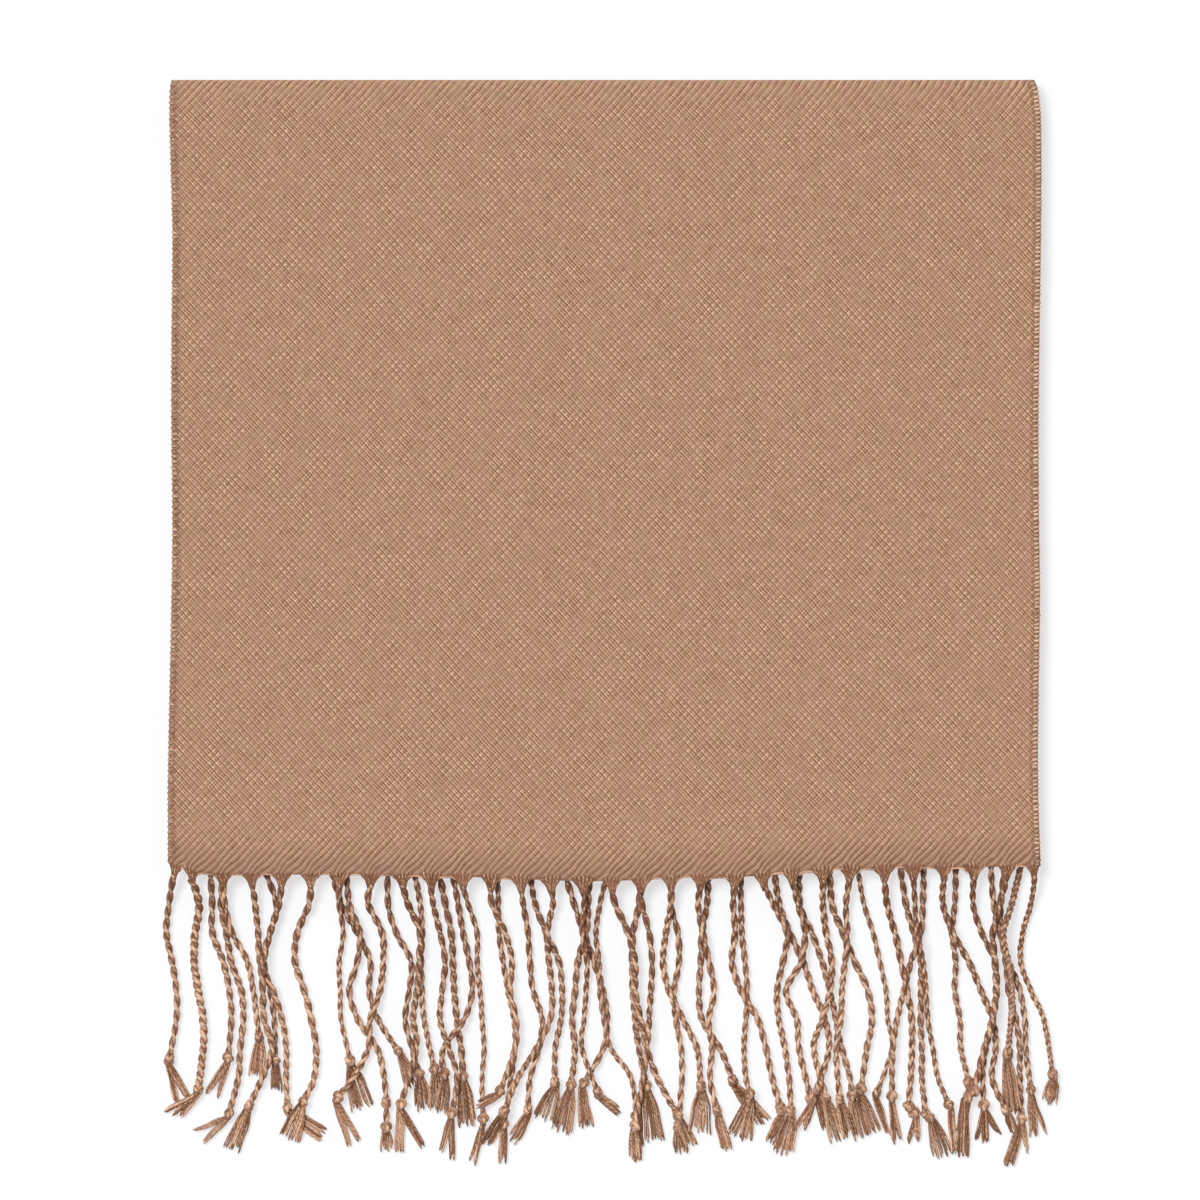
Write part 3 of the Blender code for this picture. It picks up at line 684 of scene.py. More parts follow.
class Tubes:
    """Round strands, gathered in one bmesh. Each has a UV map (u round it, v along it
    in metres), its own tone, painted shade for how deep each point lies between two strands,
    and a painted highlight for how far it is the upper side of the upper strand."""

    def __init__(self):
        self.whole = bmesh.new()
        self.layers(self.whole)
        self.patch = bpy.data.meshes.new("strand")

    def layers(self, bm):
        uv = bm.loops.layers.uv.new("UVMap")
        tone = bm.verts.layers.float.new("tone")
        crevice_shade = bm.verts.layers.float.new("crevice_shade")
        painted_highlight = bm.verts.layers.float.new("painted_highlight")
        return uv, tone, crevice_shade, painted_highlight

    def add(self, centres, radii, sides, tones, cores=None, turn=0.0, closed=False):
        """One strand round its centres, from its first tone to its last.

        cores are the points that its inner side faces. Without them that is downwards.
        """
        last = len(centres) - 1
        bm = bmesh.new()
        uv, tone_layer, crevice_shade_layer, painted_highlight_layer = self.layers(bm)
        bmesh.ops.create_grid(
            bm, x_segments=sides, y_segments=last, size=1.0, calc_uvs=True
        )
        lengths = [0.0]
        for low, high in zip(centres, centres[1:]):
            lengths.append(lengths[-1] + (high - low).length)
        frames = strand_frames(centres, closed)
        for vert in bm.verts:
            angle = (vert.co.x + 1.0) / 2.0 * TAU + turn
            k = round((vert.co.y + 1.0) / 2.0 * last)
            across, over = frames[k]
            out = across * math.cos(angle) + over * math.sin(angle)
            ripe = min(TONE_HASTE * k / last, 1.0)
            vert[tone_layer] = tones[0] + (tones[1] - tones[0]) * ripe
            inwards = -UP if cores is None else (cores[k] - centres[k]).normalized()
            # painted shade towards the other strand or downwards, and a painted highlight on the
            # upper strand's top
            vert[crevice_shade_layer] = smooth_step(-0.55, 0.75, inwards.dot(out))
            on_top = LOOSE_PAINTED_HIGHLIGHT if cores is None else smooth_step(0.15, 0.9, -inwards.z)
            vert[painted_highlight_layer] = on_top * smooth_step(0.3, 0.97, out.z)
            vert.co = centres[k] + out * radii[k]
        for face in bm.faces:
            for loop in face.loops:
                place = loop[uv].uv
                loop[uv].uv = (place.x, place.y * lengths[-1])
        bmesh.ops.remove_doubles(bm, verts=bm.verts, dist=1e-6)
        bmesh.ops.recalc_face_normals(bm, faces=bm.faces)
        bm.to_mesh(self.patch)
        bm.free()
        self.whole.from_mesh(self.patch)

    def finish(self):
        """All the strands as one bmesh."""
        bpy.data.meshes.remove(self.patch)
        return self.whole


def strand_frames(centres, closed=False):
    """Two directions across the strand at each centre, with no twist between them."""
    last = len(centres) - 1
    heads = []
    for k in range(last + 1):
        if closed and k in (0, last):
            before, after = centres[last - 1], centres[1]
        else:
            before, after = centres[max(k - 1, 0)], centres[min(k + 1, last)]
        heads.append((after - before).normalized())
    start = UP if abs(heads[0].z) < 0.9 else Vector((1.0, 0.0, 0.0))
    across = start.cross(heads[0]).normalized()
    frames = []
    for k, head in enumerate(heads):
        if k:
            across = (across - head * across.dot(head)).normalized()
        frames.append((across, head.cross(across)))
    return frames


def rounded_radii(count, radius):
    """Radii of a strand that closes at both ends."""
    radii = [radius] * count
    radii[0] = radii[-1] = 0.0
    radii[1] = radii[-2] = radius * 0.92
    return radii


def smooth_route(points, step):
    """Points about a step apart on the smooth curve through given points."""
    route = []
    last = len(points) - 1
    for k in range(last):
        p0 = points[max(k - 1, 0)]
        p1 = points[k]
        p2 = points[k + 1]
        p3 = points[min(k + 2, last)]
        pieces = max(1, round((p2 - p1).length / step))
        for piece in range(pieces):
            t = piece / pieces
            route.append(
                0.5
                * (
                    2 * p1
                    + (p2 - p0) * t
                    + (2 * p0 - 5 * p1 + 4 * p2 - p3) * t**2
                    + (3 * p1 - p0 - 3 * p2 + p3) * t**3
                )
            )
    route.append(points[last])
    return route


# ---------------------------------------------------------------- the folded cloth
FINE_LENGTH = 14.0 * MM             # of the front layer next to its hem
FINE_ROWS = 16                      # rows of faces in that length
FRONT_ROWS = 26                     # and from there to the top fold
TOP_FOLD_ROWS = 14                  # round the top fold, which shows
FOLD_ROWS = 8                       # round a fold with nothing in it
WIDE_FOLD_ROWS = 12                 # round the hidden fold that holds two layers
HIDDEN_ROWS = 5                     # along a hidden layer
REAR_ROWS = 8                       # along the rear layer

PUCKER_LENGTH = 11.0 * MM           # how far the hem's ripples run into the cloth
SHADE_LENGTH = 13.5 * MM            # how far its darker band does
HEM_RIBS = (3.0 * MM, 20.0 * MM)    # from the hem: where the wide ribs begin to fade, and end
FOLD_RIBS = (15.0 * MM, 3.0 * MM)   # from the top fold: where they begin, and are full
SWELL_EDGE = 6.0 * MM               # from the top fold's rounding to the full soft waves


def run(y_from, y_to, z, inset, rows):
    """Rows of one flat layer, without its last: y, z and inset from the side edge."""
    found = []
    for k in range(rows):
        found.append((y_from + (y_to - y_from) * k / rows, z, inset))
    return found


def turn(y, z_from, z_to, bulge, insets, rows):
    """Rows round a fold, without its last. bulge is 1 towards the top fold, or -1."""
    middle = (z_from + z_to) / 2.0
    radius = (z_from - z_to) / 2.0
    found = []
    for k in range(rows):
        angle = math.pi * k / rows
        inset = insets[0] + (insets[1] - insets[0]) * k / rows
        found.append(
            (y + bulge * abs(radius) * math.sin(angle), middle + radius * math.cos(angle), inset)
        )
    return found


def cloth_profile(foot):
    """The cloth's whole folded length, from its front hem at y = foot to its rear hem.

    It runs along layers 1, 4, 5, 6, 3 and 2, as a scarf lies that is folded in half
    and then twice across.
    """
    z = {layer: layer_middle(layer) for layer in range(1, LAYER_COUNT + 1)}
    inner = {1: 0.0, 2: INNER_SETBACK}
    for layer in (3, 4, 5, 6):
        inner[layer] = INNER_SETBACK * (1.0 + 0.5 * math.sin(2.4 * layer))
    low = foot + BOTTOM_FOLD_SETBACK + WIDE_TURN + WALL / 2.0
    middle_fold = FOLD_Y - MID_FOLD_SETBACK - TIGHT_TURN - WALL / 2.0
    top = TOP_CENTRE_Y
    rows = []
    near_hem = foot + FINE_LENGTH
    rows += run(foot, near_hem, z[1], 0.0, FINE_ROWS)
    rows += run(near_hem, top, z[1], 0.0, FRONT_ROWS)
    rows += turn(top, z[1], z[4], 1, (inner[1], inner[4]), TOP_FOLD_ROWS)
    rows += run(top, low, z[4], inner[4], HIDDEN_ROWS)
    rows += turn(low, z[4], z[5], -1, (inner[4], inner[5]), FOLD_ROWS)
    rows += run(low, middle_fold, z[5], inner[5], HIDDEN_ROWS)
    rows += turn(middle_fold, z[5], z[6], 1, (inner[5], inner[6]), FOLD_ROWS)
    rows += run(middle_fold, low, z[6], inner[6], HIDDEN_ROWS)
    rows += turn(low, z[6], z[3], -1, (inner[6], inner[3]), WIDE_FOLD_ROWS)
    rows += run(low, top, z[3], inner[3], HIDDEN_ROWS)
    rows += turn(top, z[3], z[2], 1, (inner[3], inner[2]), FOLD_ROWS)
    rows += run(top, foot + REAR_HEM_SETBACK, z[2], inner[2], REAR_ROWS)
    rows.append((foot + REAR_HEM_SETBACK, z[2], inner[2]))
    return rows


def edge_place(y, inset, share):
    """Sideways place on a layer whose side edges are drawn in by inset."""
    edge_y = max(y, HEM_Y)
    left = side(edge_y, 0.0) + inset
    right = side(edge_y, 1.0) - inset
    return left + (right - left) * share


def root_wave(x, roots):
    """Where x lies between two roots: 0 at a root, 0.5 half way and 1 at the next."""
    for low, high in zip(roots, roots[1:]):
        if low <= x <= high:
            return (x - low) / (high - low)
    return 0.0


def open_swell(x, y):
    """Height of the front layer's very soft waves, as it lies on the layers below."""
    slow = math.sin(x * 31.0 + 1.3 * math.sin(y * 17.0)) * math.sin(y * 23.0 + x * 9.0)
    # one soft trough runs down the cloth, 9 mm left of the middle
    trough = math.exp(-(((x + 9.0 * MM) / (9.0 * MM)) ** 2))
    return (0.16 * slow + 0.14 - 0.22 * trough) * MM


def build_cloth(sizes, colours):
    """The whole cloth as one folded sheet, puckered where the cords draw in its hem."""
    steps = len(cloth_profile(0.0)) - 1
    bm = bmesh.new()
    uv = bm.loops.layers.uv.new("UVMap")
    edge_share = bm.verts.layers.float.new("edge_share")
    hem_shadow = bm.verts.layers.float.new("hem_shadow")
    bmesh.ops.create_grid(
        bm, x_segments=sizes.columns, y_segments=steps, size=1.0, calc_uvs=True
    )
    roots = [along(cord[0]) for cord in FRONT_CORDS]
    profiles = {}
    for vert in bm.verts:
        column = round((vert.co.x + 1.0) / 2.0 * sizes.columns)
        share = column / sizes.columns
        if column not in profiles:
            profiles[column] = cloth_profile(hem(edge_place(HEM_Y, 0.0, share)))
        rows = profiles[column]
        k = round((vert.co.y + 1.0) / 2.0 * steps)
        y, z, inset = rows[k]
        x = edge_place(y, inset, share)
        from_hem = y - rows[0][0]
        if k < FINE_ROWS + FRONT_ROWS:
            near = 1.0 - smooth_step(0.0, PUCKER_LENGTH, from_hem)
            ribs = 1.0 - smooth_step(*HEM_RIBS, from_hem)
            ribs += smooth_step(FOLD_Y - FOLD_RIBS[0], FOLD_Y - FOLD_RIBS[1], y)
            vert[edge_share] = ribs
            vert[hem_shadow] = 1.0 - smooth_step(0.0, SHADE_LENGTH, from_hem)
            wave = root_wave(x, roots) * TAU
            z += sizes.hem_pucker * near * (0.5 + 0.5 * math.cos(wave))
            if 0.0 < share < 1.0:
                x -= sizes.hem_draw * near * near * math.sin(wave)
            z += open_swell(x, y) * smooth_step(0.0, SWELL_EDGE, TOP_CENTRE_Y - y)
        elif k < FINE_ROWS + FRONT_ROWS + TOP_FOLD_ROWS:
            vert[edge_share] = 1.0
        vert.co = (x, y, z)
    lengths = {}
    for column, rows in profiles.items():
        # the twill runs straight across the front layer, whatever its hem does
        length = [TOP_CENTRE_Y - rows[0][0]]
        for low, high in zip(rows, rows[1:]):
            length.append(length[-1] - math.hypot(high[0] - low[0], high[1] - low[1]))
        lengths[column] = length
    for face in bm.faces:
        for loop in face.loops:
            place = loop[uv].uv
            column = round(place.x * sizes.columns)
            k = round(place.y * steps)
            loop[uv].uv = ((place.x - 0.5) * CLOTH_WIDTH, lengths[column][k])
    piece = finished_piece(
        "folded_cloth",
        bm,
        twill_finish(sizes, colours),
        ("front_layer", "rear_layer", "folded_layers"),
    )
    wall = piece.modifiers.new("wall", "SOLIDIFY")
    wall.thickness = WALL
    wall.offset = 0.0
    wall.use_even_offset = True
    middle_rows = profiles[sizes.columns // 2]
    middle_length = sum(
        math.hypot(high[0] - low[0], high[1] - low[1])
        for low, high in zip(middle_rows, middle_rows[1:])
    )
    return piece


# ---------------------------------------------------------------- side stitching
STITCH_SEED = 11
STITCH_SIDES = 5
HIDDEN_STITCH_RADIUS = 0.26 * MM
STITCH_INSET = 0.26 * MM            # of a stitch's outer bend from the cloth's edge

# The two stitched edges. Columns: share of the cloth's width, way out, stretch of the
# stitches' pitch, their thickness as a share of it, how far the corner at the fold and the
# whole edge draw them in (mm), and their tone.
STITCHED_EDGES = (
    (0.0, -1.0, 1.33, 0.32, 0.35, 0.14, -0.5),
    (1.0, 1.0, 1.0, 0.36, 0.8, 0.0, 0.12),
)

# The way of a stitch, from its end on the cloth to its end under it. Columns: face (1 the
# upper, -1 the lower), reach into the cloth as a share of the stitch's depth, the same in
# mm, height over the face in mm, and share of the stitch's slant.
STITCH_OVER = (
    (1.0, 1.0, 0.0, -0.35, 1.0),
    (1.0, 0.8, 0.0, 0.0, 0.9),
    (1.0, 0.35, 0.0, 0.08, 0.5),
    (1.0, 0.0, 0.2, -0.1, 0.15),
)
STITCH_UNDER = (
    (-1.0, 0.0, 0.2, -0.1, -0.1),
    (-1.0, 0.4, 0.0, 0.0, -0.3),
    (-1.0, 0.8, 0.0, -0.35, -0.4),
)


def profile_walk(rows, pitch):
    """Places a pitch apart along a profile: y, z, inset, the way it runs, distance."""
    found = []
    travelled = 0.0
    wanted = pitch / 2.0
    for low, high in zip(rows, rows[1:]):
        length = math.hypot(high[0] - low[0], high[1] - low[1])
        while wanted <= travelled + length:
            t = (wanted - travelled) / length
            y = low[0] + (high[0] - low[0]) * t
            z = low[1] + (high[1] - low[1]) * t
            inset = low[2] + (high[2] - low[2]) * t
            heading = Vector((0.0, high[0] - low[0], high[1] - low[1])).normalized()
            found.append((y, z, inset, heading, wanted))
            wanted += pitch
        travelled += length
    return found


def stitch_points(rows, edge, inwards, over, lean, depth, rise):
    """Points of one half of a stitch, from its table, round a point of the cloth's edge."""
    points = []
    for face, share_in, reach_in, lift, lean_share in rows:
        reach = depth * share_in + reach_in * MM
        height = face * (rise + lift * MM)
        points.append(edge + inwards * reach + over * height + lean * lean_share)
    return points


def build_stitching(sizes, colours):
    """The overlock seam: threads wound round both long edges, all along the cloth."""
    chance = random.Random(STITCH_SEED)
    tubes = Tubes()
    half = WALL / 2.0
    for share, outwards, stretch, thickness, corner_draw, draw, edge_tone in STITCHED_EDGES:
        rows = cloth_profile(hem(edge_place(HEM_Y, 0.0, share)))
        shown = TOP_CENTRE_Y - rows[0][0] + math.pi * WIDE_TURN
        pitch = sizes.stitch_pitch * stretch
        for y, z, inset, heading, travelled in profile_walk(rows, pitch):
            x = edge_place(y, inset, share)
            outside = Vector((outwards, 0.0, 0.0))
            over = Vector((1.0, 0.0, 0.0)).cross(heading).normalized()
            on_top = travelled < shown
            at_fold = smooth_step(TOP_CENTRE_Y - 2.0 * MM, FOLD_Y, y)
            radius = HIDDEN_STITCH_RADIUS
            if on_top:
                radius = pitch * thickness * (1.0 - 0.35 * at_fold)
            rise = half + (0.05 * MM - 0.3 * MM * at_fold if on_top else -0.06 * MM)
            slant = -pitch * chance.uniform(-0.05, 0.5)
            depth = sizes.stitch_depth * chance.uniform(0.9, 1.08)
            edge = Vector((x, y, z))
            knee = -STITCH_INSET * chance.uniform(0.2, 1.6) - draw * MM
            knee -= corner_draw * MM * smooth_step(TOP_CENTRE_Y - 4.0 * MM, FOLD_Y, y)
            lie = (edge, -outside, over, heading * slant, depth, rise)
            path = stitch_points(STITCH_OVER, *lie)
            path.append(edge + outside * knee)
            path += stitch_points(STITCH_UNDER, *lie)
            radii = rounded_radii(len(path), radius)
            tone = chance.uniform(0.3, 0.95) + edge_tone
            tubes.add(path, radii, STITCH_SIDES, (tone, tone))
    finish = yarn_finish("stitch_thread", colours.stitch_dark, colours.stitch_light, 0.5)
    return finished_piece("side_stitching", tubes.finish(), finish, ())


# ---------------------------------------------------------------- the fringes
class Pile:
    """The strands laid so far, in square cells, to lay the next ones over them."""

    cell = 3.0 * MM
    clearance = 0.05 * MM
    calming_rounds = 3

    def __init__(self):
        self.cells = {}

    def key(self, point):
        """The cell that a point lies in."""
        return (math.floor(point.x / self.cell), math.floor(point.y / self.cell))

    def lowest(self, point, radius):
        """Lowest middle height here of a round strand on the floor and on the others."""
        height = radius + self.clearance
        column, row = self.key(point)
        for i in (column - 1, column, column + 1):
            for j in (row - 1, row, row + 1):
                for x, y, z, other in self.cells.get((i, j), ()):
                    reach = radius + other + self.clearance
                    apart = (x - point.x) ** 2 + (y - point.y) ** 2
                    if apart < reach**2:
                        height = max(height, z + math.sqrt(reach**2 - apart))
        return height

    def settle(self, points, radii, slope, start=None):
        """Give points the heights of a strand that rests on what lies below it.

        slope is the steepest that it falls, and start its height at its first point.
        """
        floor = [self.lowest(point, radius) for point, radius in zip(points, radii)]
        if start is not None:
            floor[0] = start
        heights = list(floor)
        for way in (1, -1):
            order = range(len(points))[::way]
            before = None
            for k in order:
                if before is not None:
                    run_length = (points[k].xy - points[before].xy).length
                    heights[k] = max(heights[k], heights[before] - slope * run_length)
                before = k
        for _ in range(self.calming_rounds):
            calm = list(heights)
            for k in range(1, len(points) - 1):
                calm[k] = max(floor[k], (heights[k - 1] + heights[k] + heights[k + 1]) / 3.0)
            heights = calm
        for point, height in zip(points, heights):
            point.z = height

    def keep(self, points, radii):
        """Add a strand, for the next ones to lie on."""
        for point, radius in zip(points, radii):
            self.cells.setdefault(self.key(point), []).append(
                (point.x, point.y, point.z, radius)
            )


def flat(x_px, row_px):
    """A place on the floor, read in the photo."""
    return Vector((along(x_px), up(row_px), 0.0))


REAR_SEED = 5
FRONT_SEED = 8
LOOP_SEED_STEP = 100                # from a fringe's seed to that of its loose threads
STEP = 0.85 * MM                    # between two rings of a ply
GATHER_DROP = 2.7 * MM              # from the hem to where a cord's plies begin
GATHER_REACH = 3.9 * MM             # of the drawn threads, to each side of a root
GATHER_SPACING = 0.7 * MM           # of the drawn threads along the hem
EDGE_MARGIN = 0.4 * MM              # from the cloth's side edge to the first drawn thread
ROOT_DEPTH = 0.9 * MM               # from a layer's middle down to where its plies begin
REST_SHARE = 0.97                   # of a cord's radius, at which it rests on others
KNOT_TUCK = 0.4 * MM                # from a cord's last ring to its knot's middle
FALL = 0.36                         # of a cord from its hem, for each unit out
THREAD_FALL = 0.55                  # of a tassel's thread from its knot
OWN_END = 6                         # last rings of a cord that its own tassel ignores
CORD_SIDES = 8
THREAD_SIDES = 6
KNOT_LENGTH = 4.0 * MM
KNOT_WIDTH = 3.5 * MM
KNOT_RADIUS = 1.4 * MM              # of the round place that a knot takes in the pile
KNOT_RINGS = 40
TASSEL_SPACING = 0.56 * MM          # of the threads along a tassel's tip
TASSEL_THREADS = (3, 15)            # fewest and most in one lock
THREAD_STEP = 1.35 * MM             # between two rings of a tassel's thread
LOOP_RINGS = 12
REAR_PAINTED_SHADE = 0.9                    # of the rear cords' colours beside the front ones': painted shade under them

# The way of a drawn thread, from the cloth to its cord. Columns: share of the way to where
# the cord begins; share left of the thread's distance from its root; place before the hem
# and height over the layer (mm), each with what the farthest thread adds to it.
GATHER_PATH = (
    (0.0, 1.0, 2.9, -1.2, 0.20, -0.2),
    (0.0, 1.0, 1.7, -0.7, 0.50, -0.2),
    (0.0, 0.97, 0.4, 0.0, 0.56, -0.2),
    (0.0, 0.80, -0.65, 0.25, 0.25, 0.0),
    (0.0, 0.52, -1.5, 0.0, -0.08, 0.0),
    (0.6, 0.36, -2.6, 0.0, -0.45, 0.0),
    (1.0, 0.27, -3.9, 0.0, -0.95, 0.0),
    (1.0, 0.16, -5.6, 0.0, -1.8, 0.0),
)


def gather(tubes, root, hem_z, hem_rise, left, right, chance, meet):
    """Warp threads drawn in from the hem on both sides of a root, to where they meet."""
    count = max(7, round((right - left) / GATHER_SPACING))
    middle = along(root)
    drift = meet.x - middle
    for k in range(count):
        x = left + (right - left) * (k + 0.5) / count
        off = x - middle
        far = min(abs(off) / GATHER_REACH, 1.0)
        foot = hem(x) + hem_rise
        path = []
        for joined, kept, before, before_far, lift, lift_far in GATHER_PATH:
            path_x = middle + drift * joined + off * kept
            path_y = foot + (before + before_far * far) * MM
            path_z = hem_z + (lift + lift_far * far) * MM
            path.append(Vector((path_x, path_y, path_z)))
        for point in path[2:]:
            point.z += chance.uniform(-0.12, 0.12) * MM
        radii = rounded_radii(len(path), chance.uniform(0.33, 0.44) * MM)
        tone = chance.uniform(0.0, 0.5) if k % 2 else chance.uniform(-1.0, -0.5)
        tubes.add(path, radii, THREAD_SIDES, (tone, tone - 0.1), None, chance.uniform(0, TAU))


def loop_along_hem(tubes, low, high, hem_z, chance):
    """A loose warp thread that arches along the hem from one root to the next."""
    start = low + chance.uniform(1.0, 2.4) * MM
    end = high - chance.uniform(1.0, 2.4) * MM
    drop = chance.uniform(1.2, 2.4) * MM
    lie = chance.uniform(-0.35, 0.25) * MM
    path = []
    for k in range(LOOP_RINGS + 1):
        bend = drop * (2.0 * k / LOOP_RINGS - 1.0) ** 4
        x = start + (end - start) * k / LOOP_RINGS
        path.append(Vector((x, hem(x) + lie - bend, hem_z + 0.42 * MM - 0.5 * bend)))
    tone = chance.uniform(0.2, 0.9)
    radii = rounded_radii(len(path), chance.uniform(0.26, 0.38) * MM)
    tubes.add(path, radii, THREAD_SIDES, (tone, tone))


def twist(tubes, points, thickness, turn_length, sizes, chance):
    """Two plies wound round a cord's middle line. A negative length winds them the other way."""
    frames = strand_frames(points)
    last = len(points) - 1
    phase = chance.uniform(0.0, TAU)
    swell_a = chance.uniform(0.0, TAU)
    angles = []
    for k in range(last + 1):
        if k:
            step = (points[k] - points[k - 1]).length
            drift = 1.0 + 0.16 * math.sin(swell_a + k * 0.11)
            tighter = 1.04 - 0.14 * smooth_step(0.2, 0.9, k / last)
            phase += TAU * step / (turn_length * drift * tighter)
        angles.append(phase)
    tone = chance.uniform(0.1, 0.45)
    apart = chance.uniform(0.06, 0.26)
    for ply in (0, 1):
        centres = []
        radii = []
        for k in range(last + 1):
            across, over = frames[k]
            angle = angles[k] + math.pi * ply
            finer = 1.0 - 0.06 * smooth_step(0.35, 0.95, k / last)
            swell = 1.0 + 0.09 * math.sin(swell_a * 3.0 + k * 0.37 + ply * 2.0)
            reach = sizes.ply_offset * thickness * finer
            offset = (across * math.cos(angle) + over * math.sin(angle)) * reach
            centres.append(points[k] + offset)
            radii.append(sizes.ply_radius * thickness * finer * swell)
        radii[0] = radii[-1] = 0.0
        ply_tone = tone + apart * (1 - 2 * ply) * 1.25
        tubes.add(centres, radii, CORD_SIDES, (ply_tone - 0.46, ply_tone + 0.11), points)


def tie_knot(tubes, pile, place, heading, size, chance):
    """A tight overhand knot, laid on what lies below it. Returns its middle."""
    across = UP.cross(heading).normalized()
    tilt = Matrix.Rotation(chance.uniform(0.3, 1.0) * chance.choice((-1, 1)), 3, heading)
    lean = Matrix.Rotation(chance.uniform(-0.5, 0.5), 3, across)
    turned = lean @ tilt
    wide = 0.82 * MM * size
    deep = 0.42 * MM * size
    radius = 0.78 * MM * size
    tone = chance.uniform(0.3, 0.6)
    offsets = []
    for k in range(KNOT_RINGS + 1):
        t = TAU * k / KNOT_RINGS
        ring = wide + deep * math.cos(3.0 * t)
        local = (
            heading * ring * math.cos(2.0 * t) * 1.1
            + across * ring * math.sin(2.0 * t)
            + UP * deep * math.sin(3.0 * t) * 1.3
        )
        offsets.append(turned @ local)
    depth = radius - min(offset.z for offset in offsets)
    middle = place.copy()
    half = 1.3 * MM * size
    middle.z = pile.lowest(place, half) - half + depth
    path = [middle + offset for offset in offsets]
    cores = [middle] * len(path)
    tubes.add(path, [radius] * len(path), CORD_SIDES, (tone, tone), cores, 0.0, True)
    return middle


def spread_tassel(tubes, pile, knot_end, locks, sizes, chance):
    """Threads from a knot to the tips of its locks, each resting on what lies below."""
    laid = []
    fewest, most = TASSEL_THREADS
    for tip_x, tip_row, width in locks:
        tip = flat(tip_x, tip_row)
        out = tip - knot_end
        out.z = 0.0
        ahead = out.normalized()
        across = Vector((-out.y, out.x, 0.0)).normalized()
        fan = max(width * PX - 2.0 * sizes.thread_radius, 0.0)
        if len(locks) == 1:
            # the threads of a tassel that doesn't part lie a little looser
            fan = fan * 1.25 + 0.9 * MM
        count = max(fewest, min(most, round(fan / TASSEL_SPACING) + 2))
        for k in range(count):
            place = (k + 0.5) / count - 0.5 + chance.uniform(-0.07, 0.07)
            radius = sizes.thread_radius * chance.uniform(0.85, 1.12)
            start = knot_end + across * KNOT_WIDTH * 0.5 * place
            end = tip + across * fan * place
            end += ahead * chance.uniform(-2.2, 0.7) * MM
            belly = across * fan * place * 0.22
            sway = across * chance.uniform(-0.22, 0.22) * MM
            points = [
                start - ahead * 1.2 * MM,
                start.lerp(end, 0.12) + belly * 0.6,
                start.lerp(end, 0.35) + belly + sway,
                start.lerp(end, 0.68) + belly * 0.5 - sway,
                end,
            ]
            path = smooth_route(points, THREAD_STEP)
            radii = [radius] * len(path)
            pile.settle(path, radii, THREAD_FALL, knot_end.z)
            lift = chance.uniform(0.0, 1.0) * chance.uniform(0.2, 1.0) * 0.9 * MM
            for j, point in enumerate(path):
                share = j / (len(path) - 1)
                point.z += lift * (1.0 - 0.35 * share)
            path[0].z = min(path[0].z, knot_end.z + 0.4 * MM)
            laid.append((path, radii))
            tone = chance.uniform(-0.62, 0.62)
            tones = (tone - 0.15, tone + 0.2)
            closed = rounded_radii(len(path), radius)
            tubes.add(path, closed, THREAD_SIDES, tones, None, chance.uniform(0, TAU))
    for path, radii in laid:
        pile.keep(path, radii)


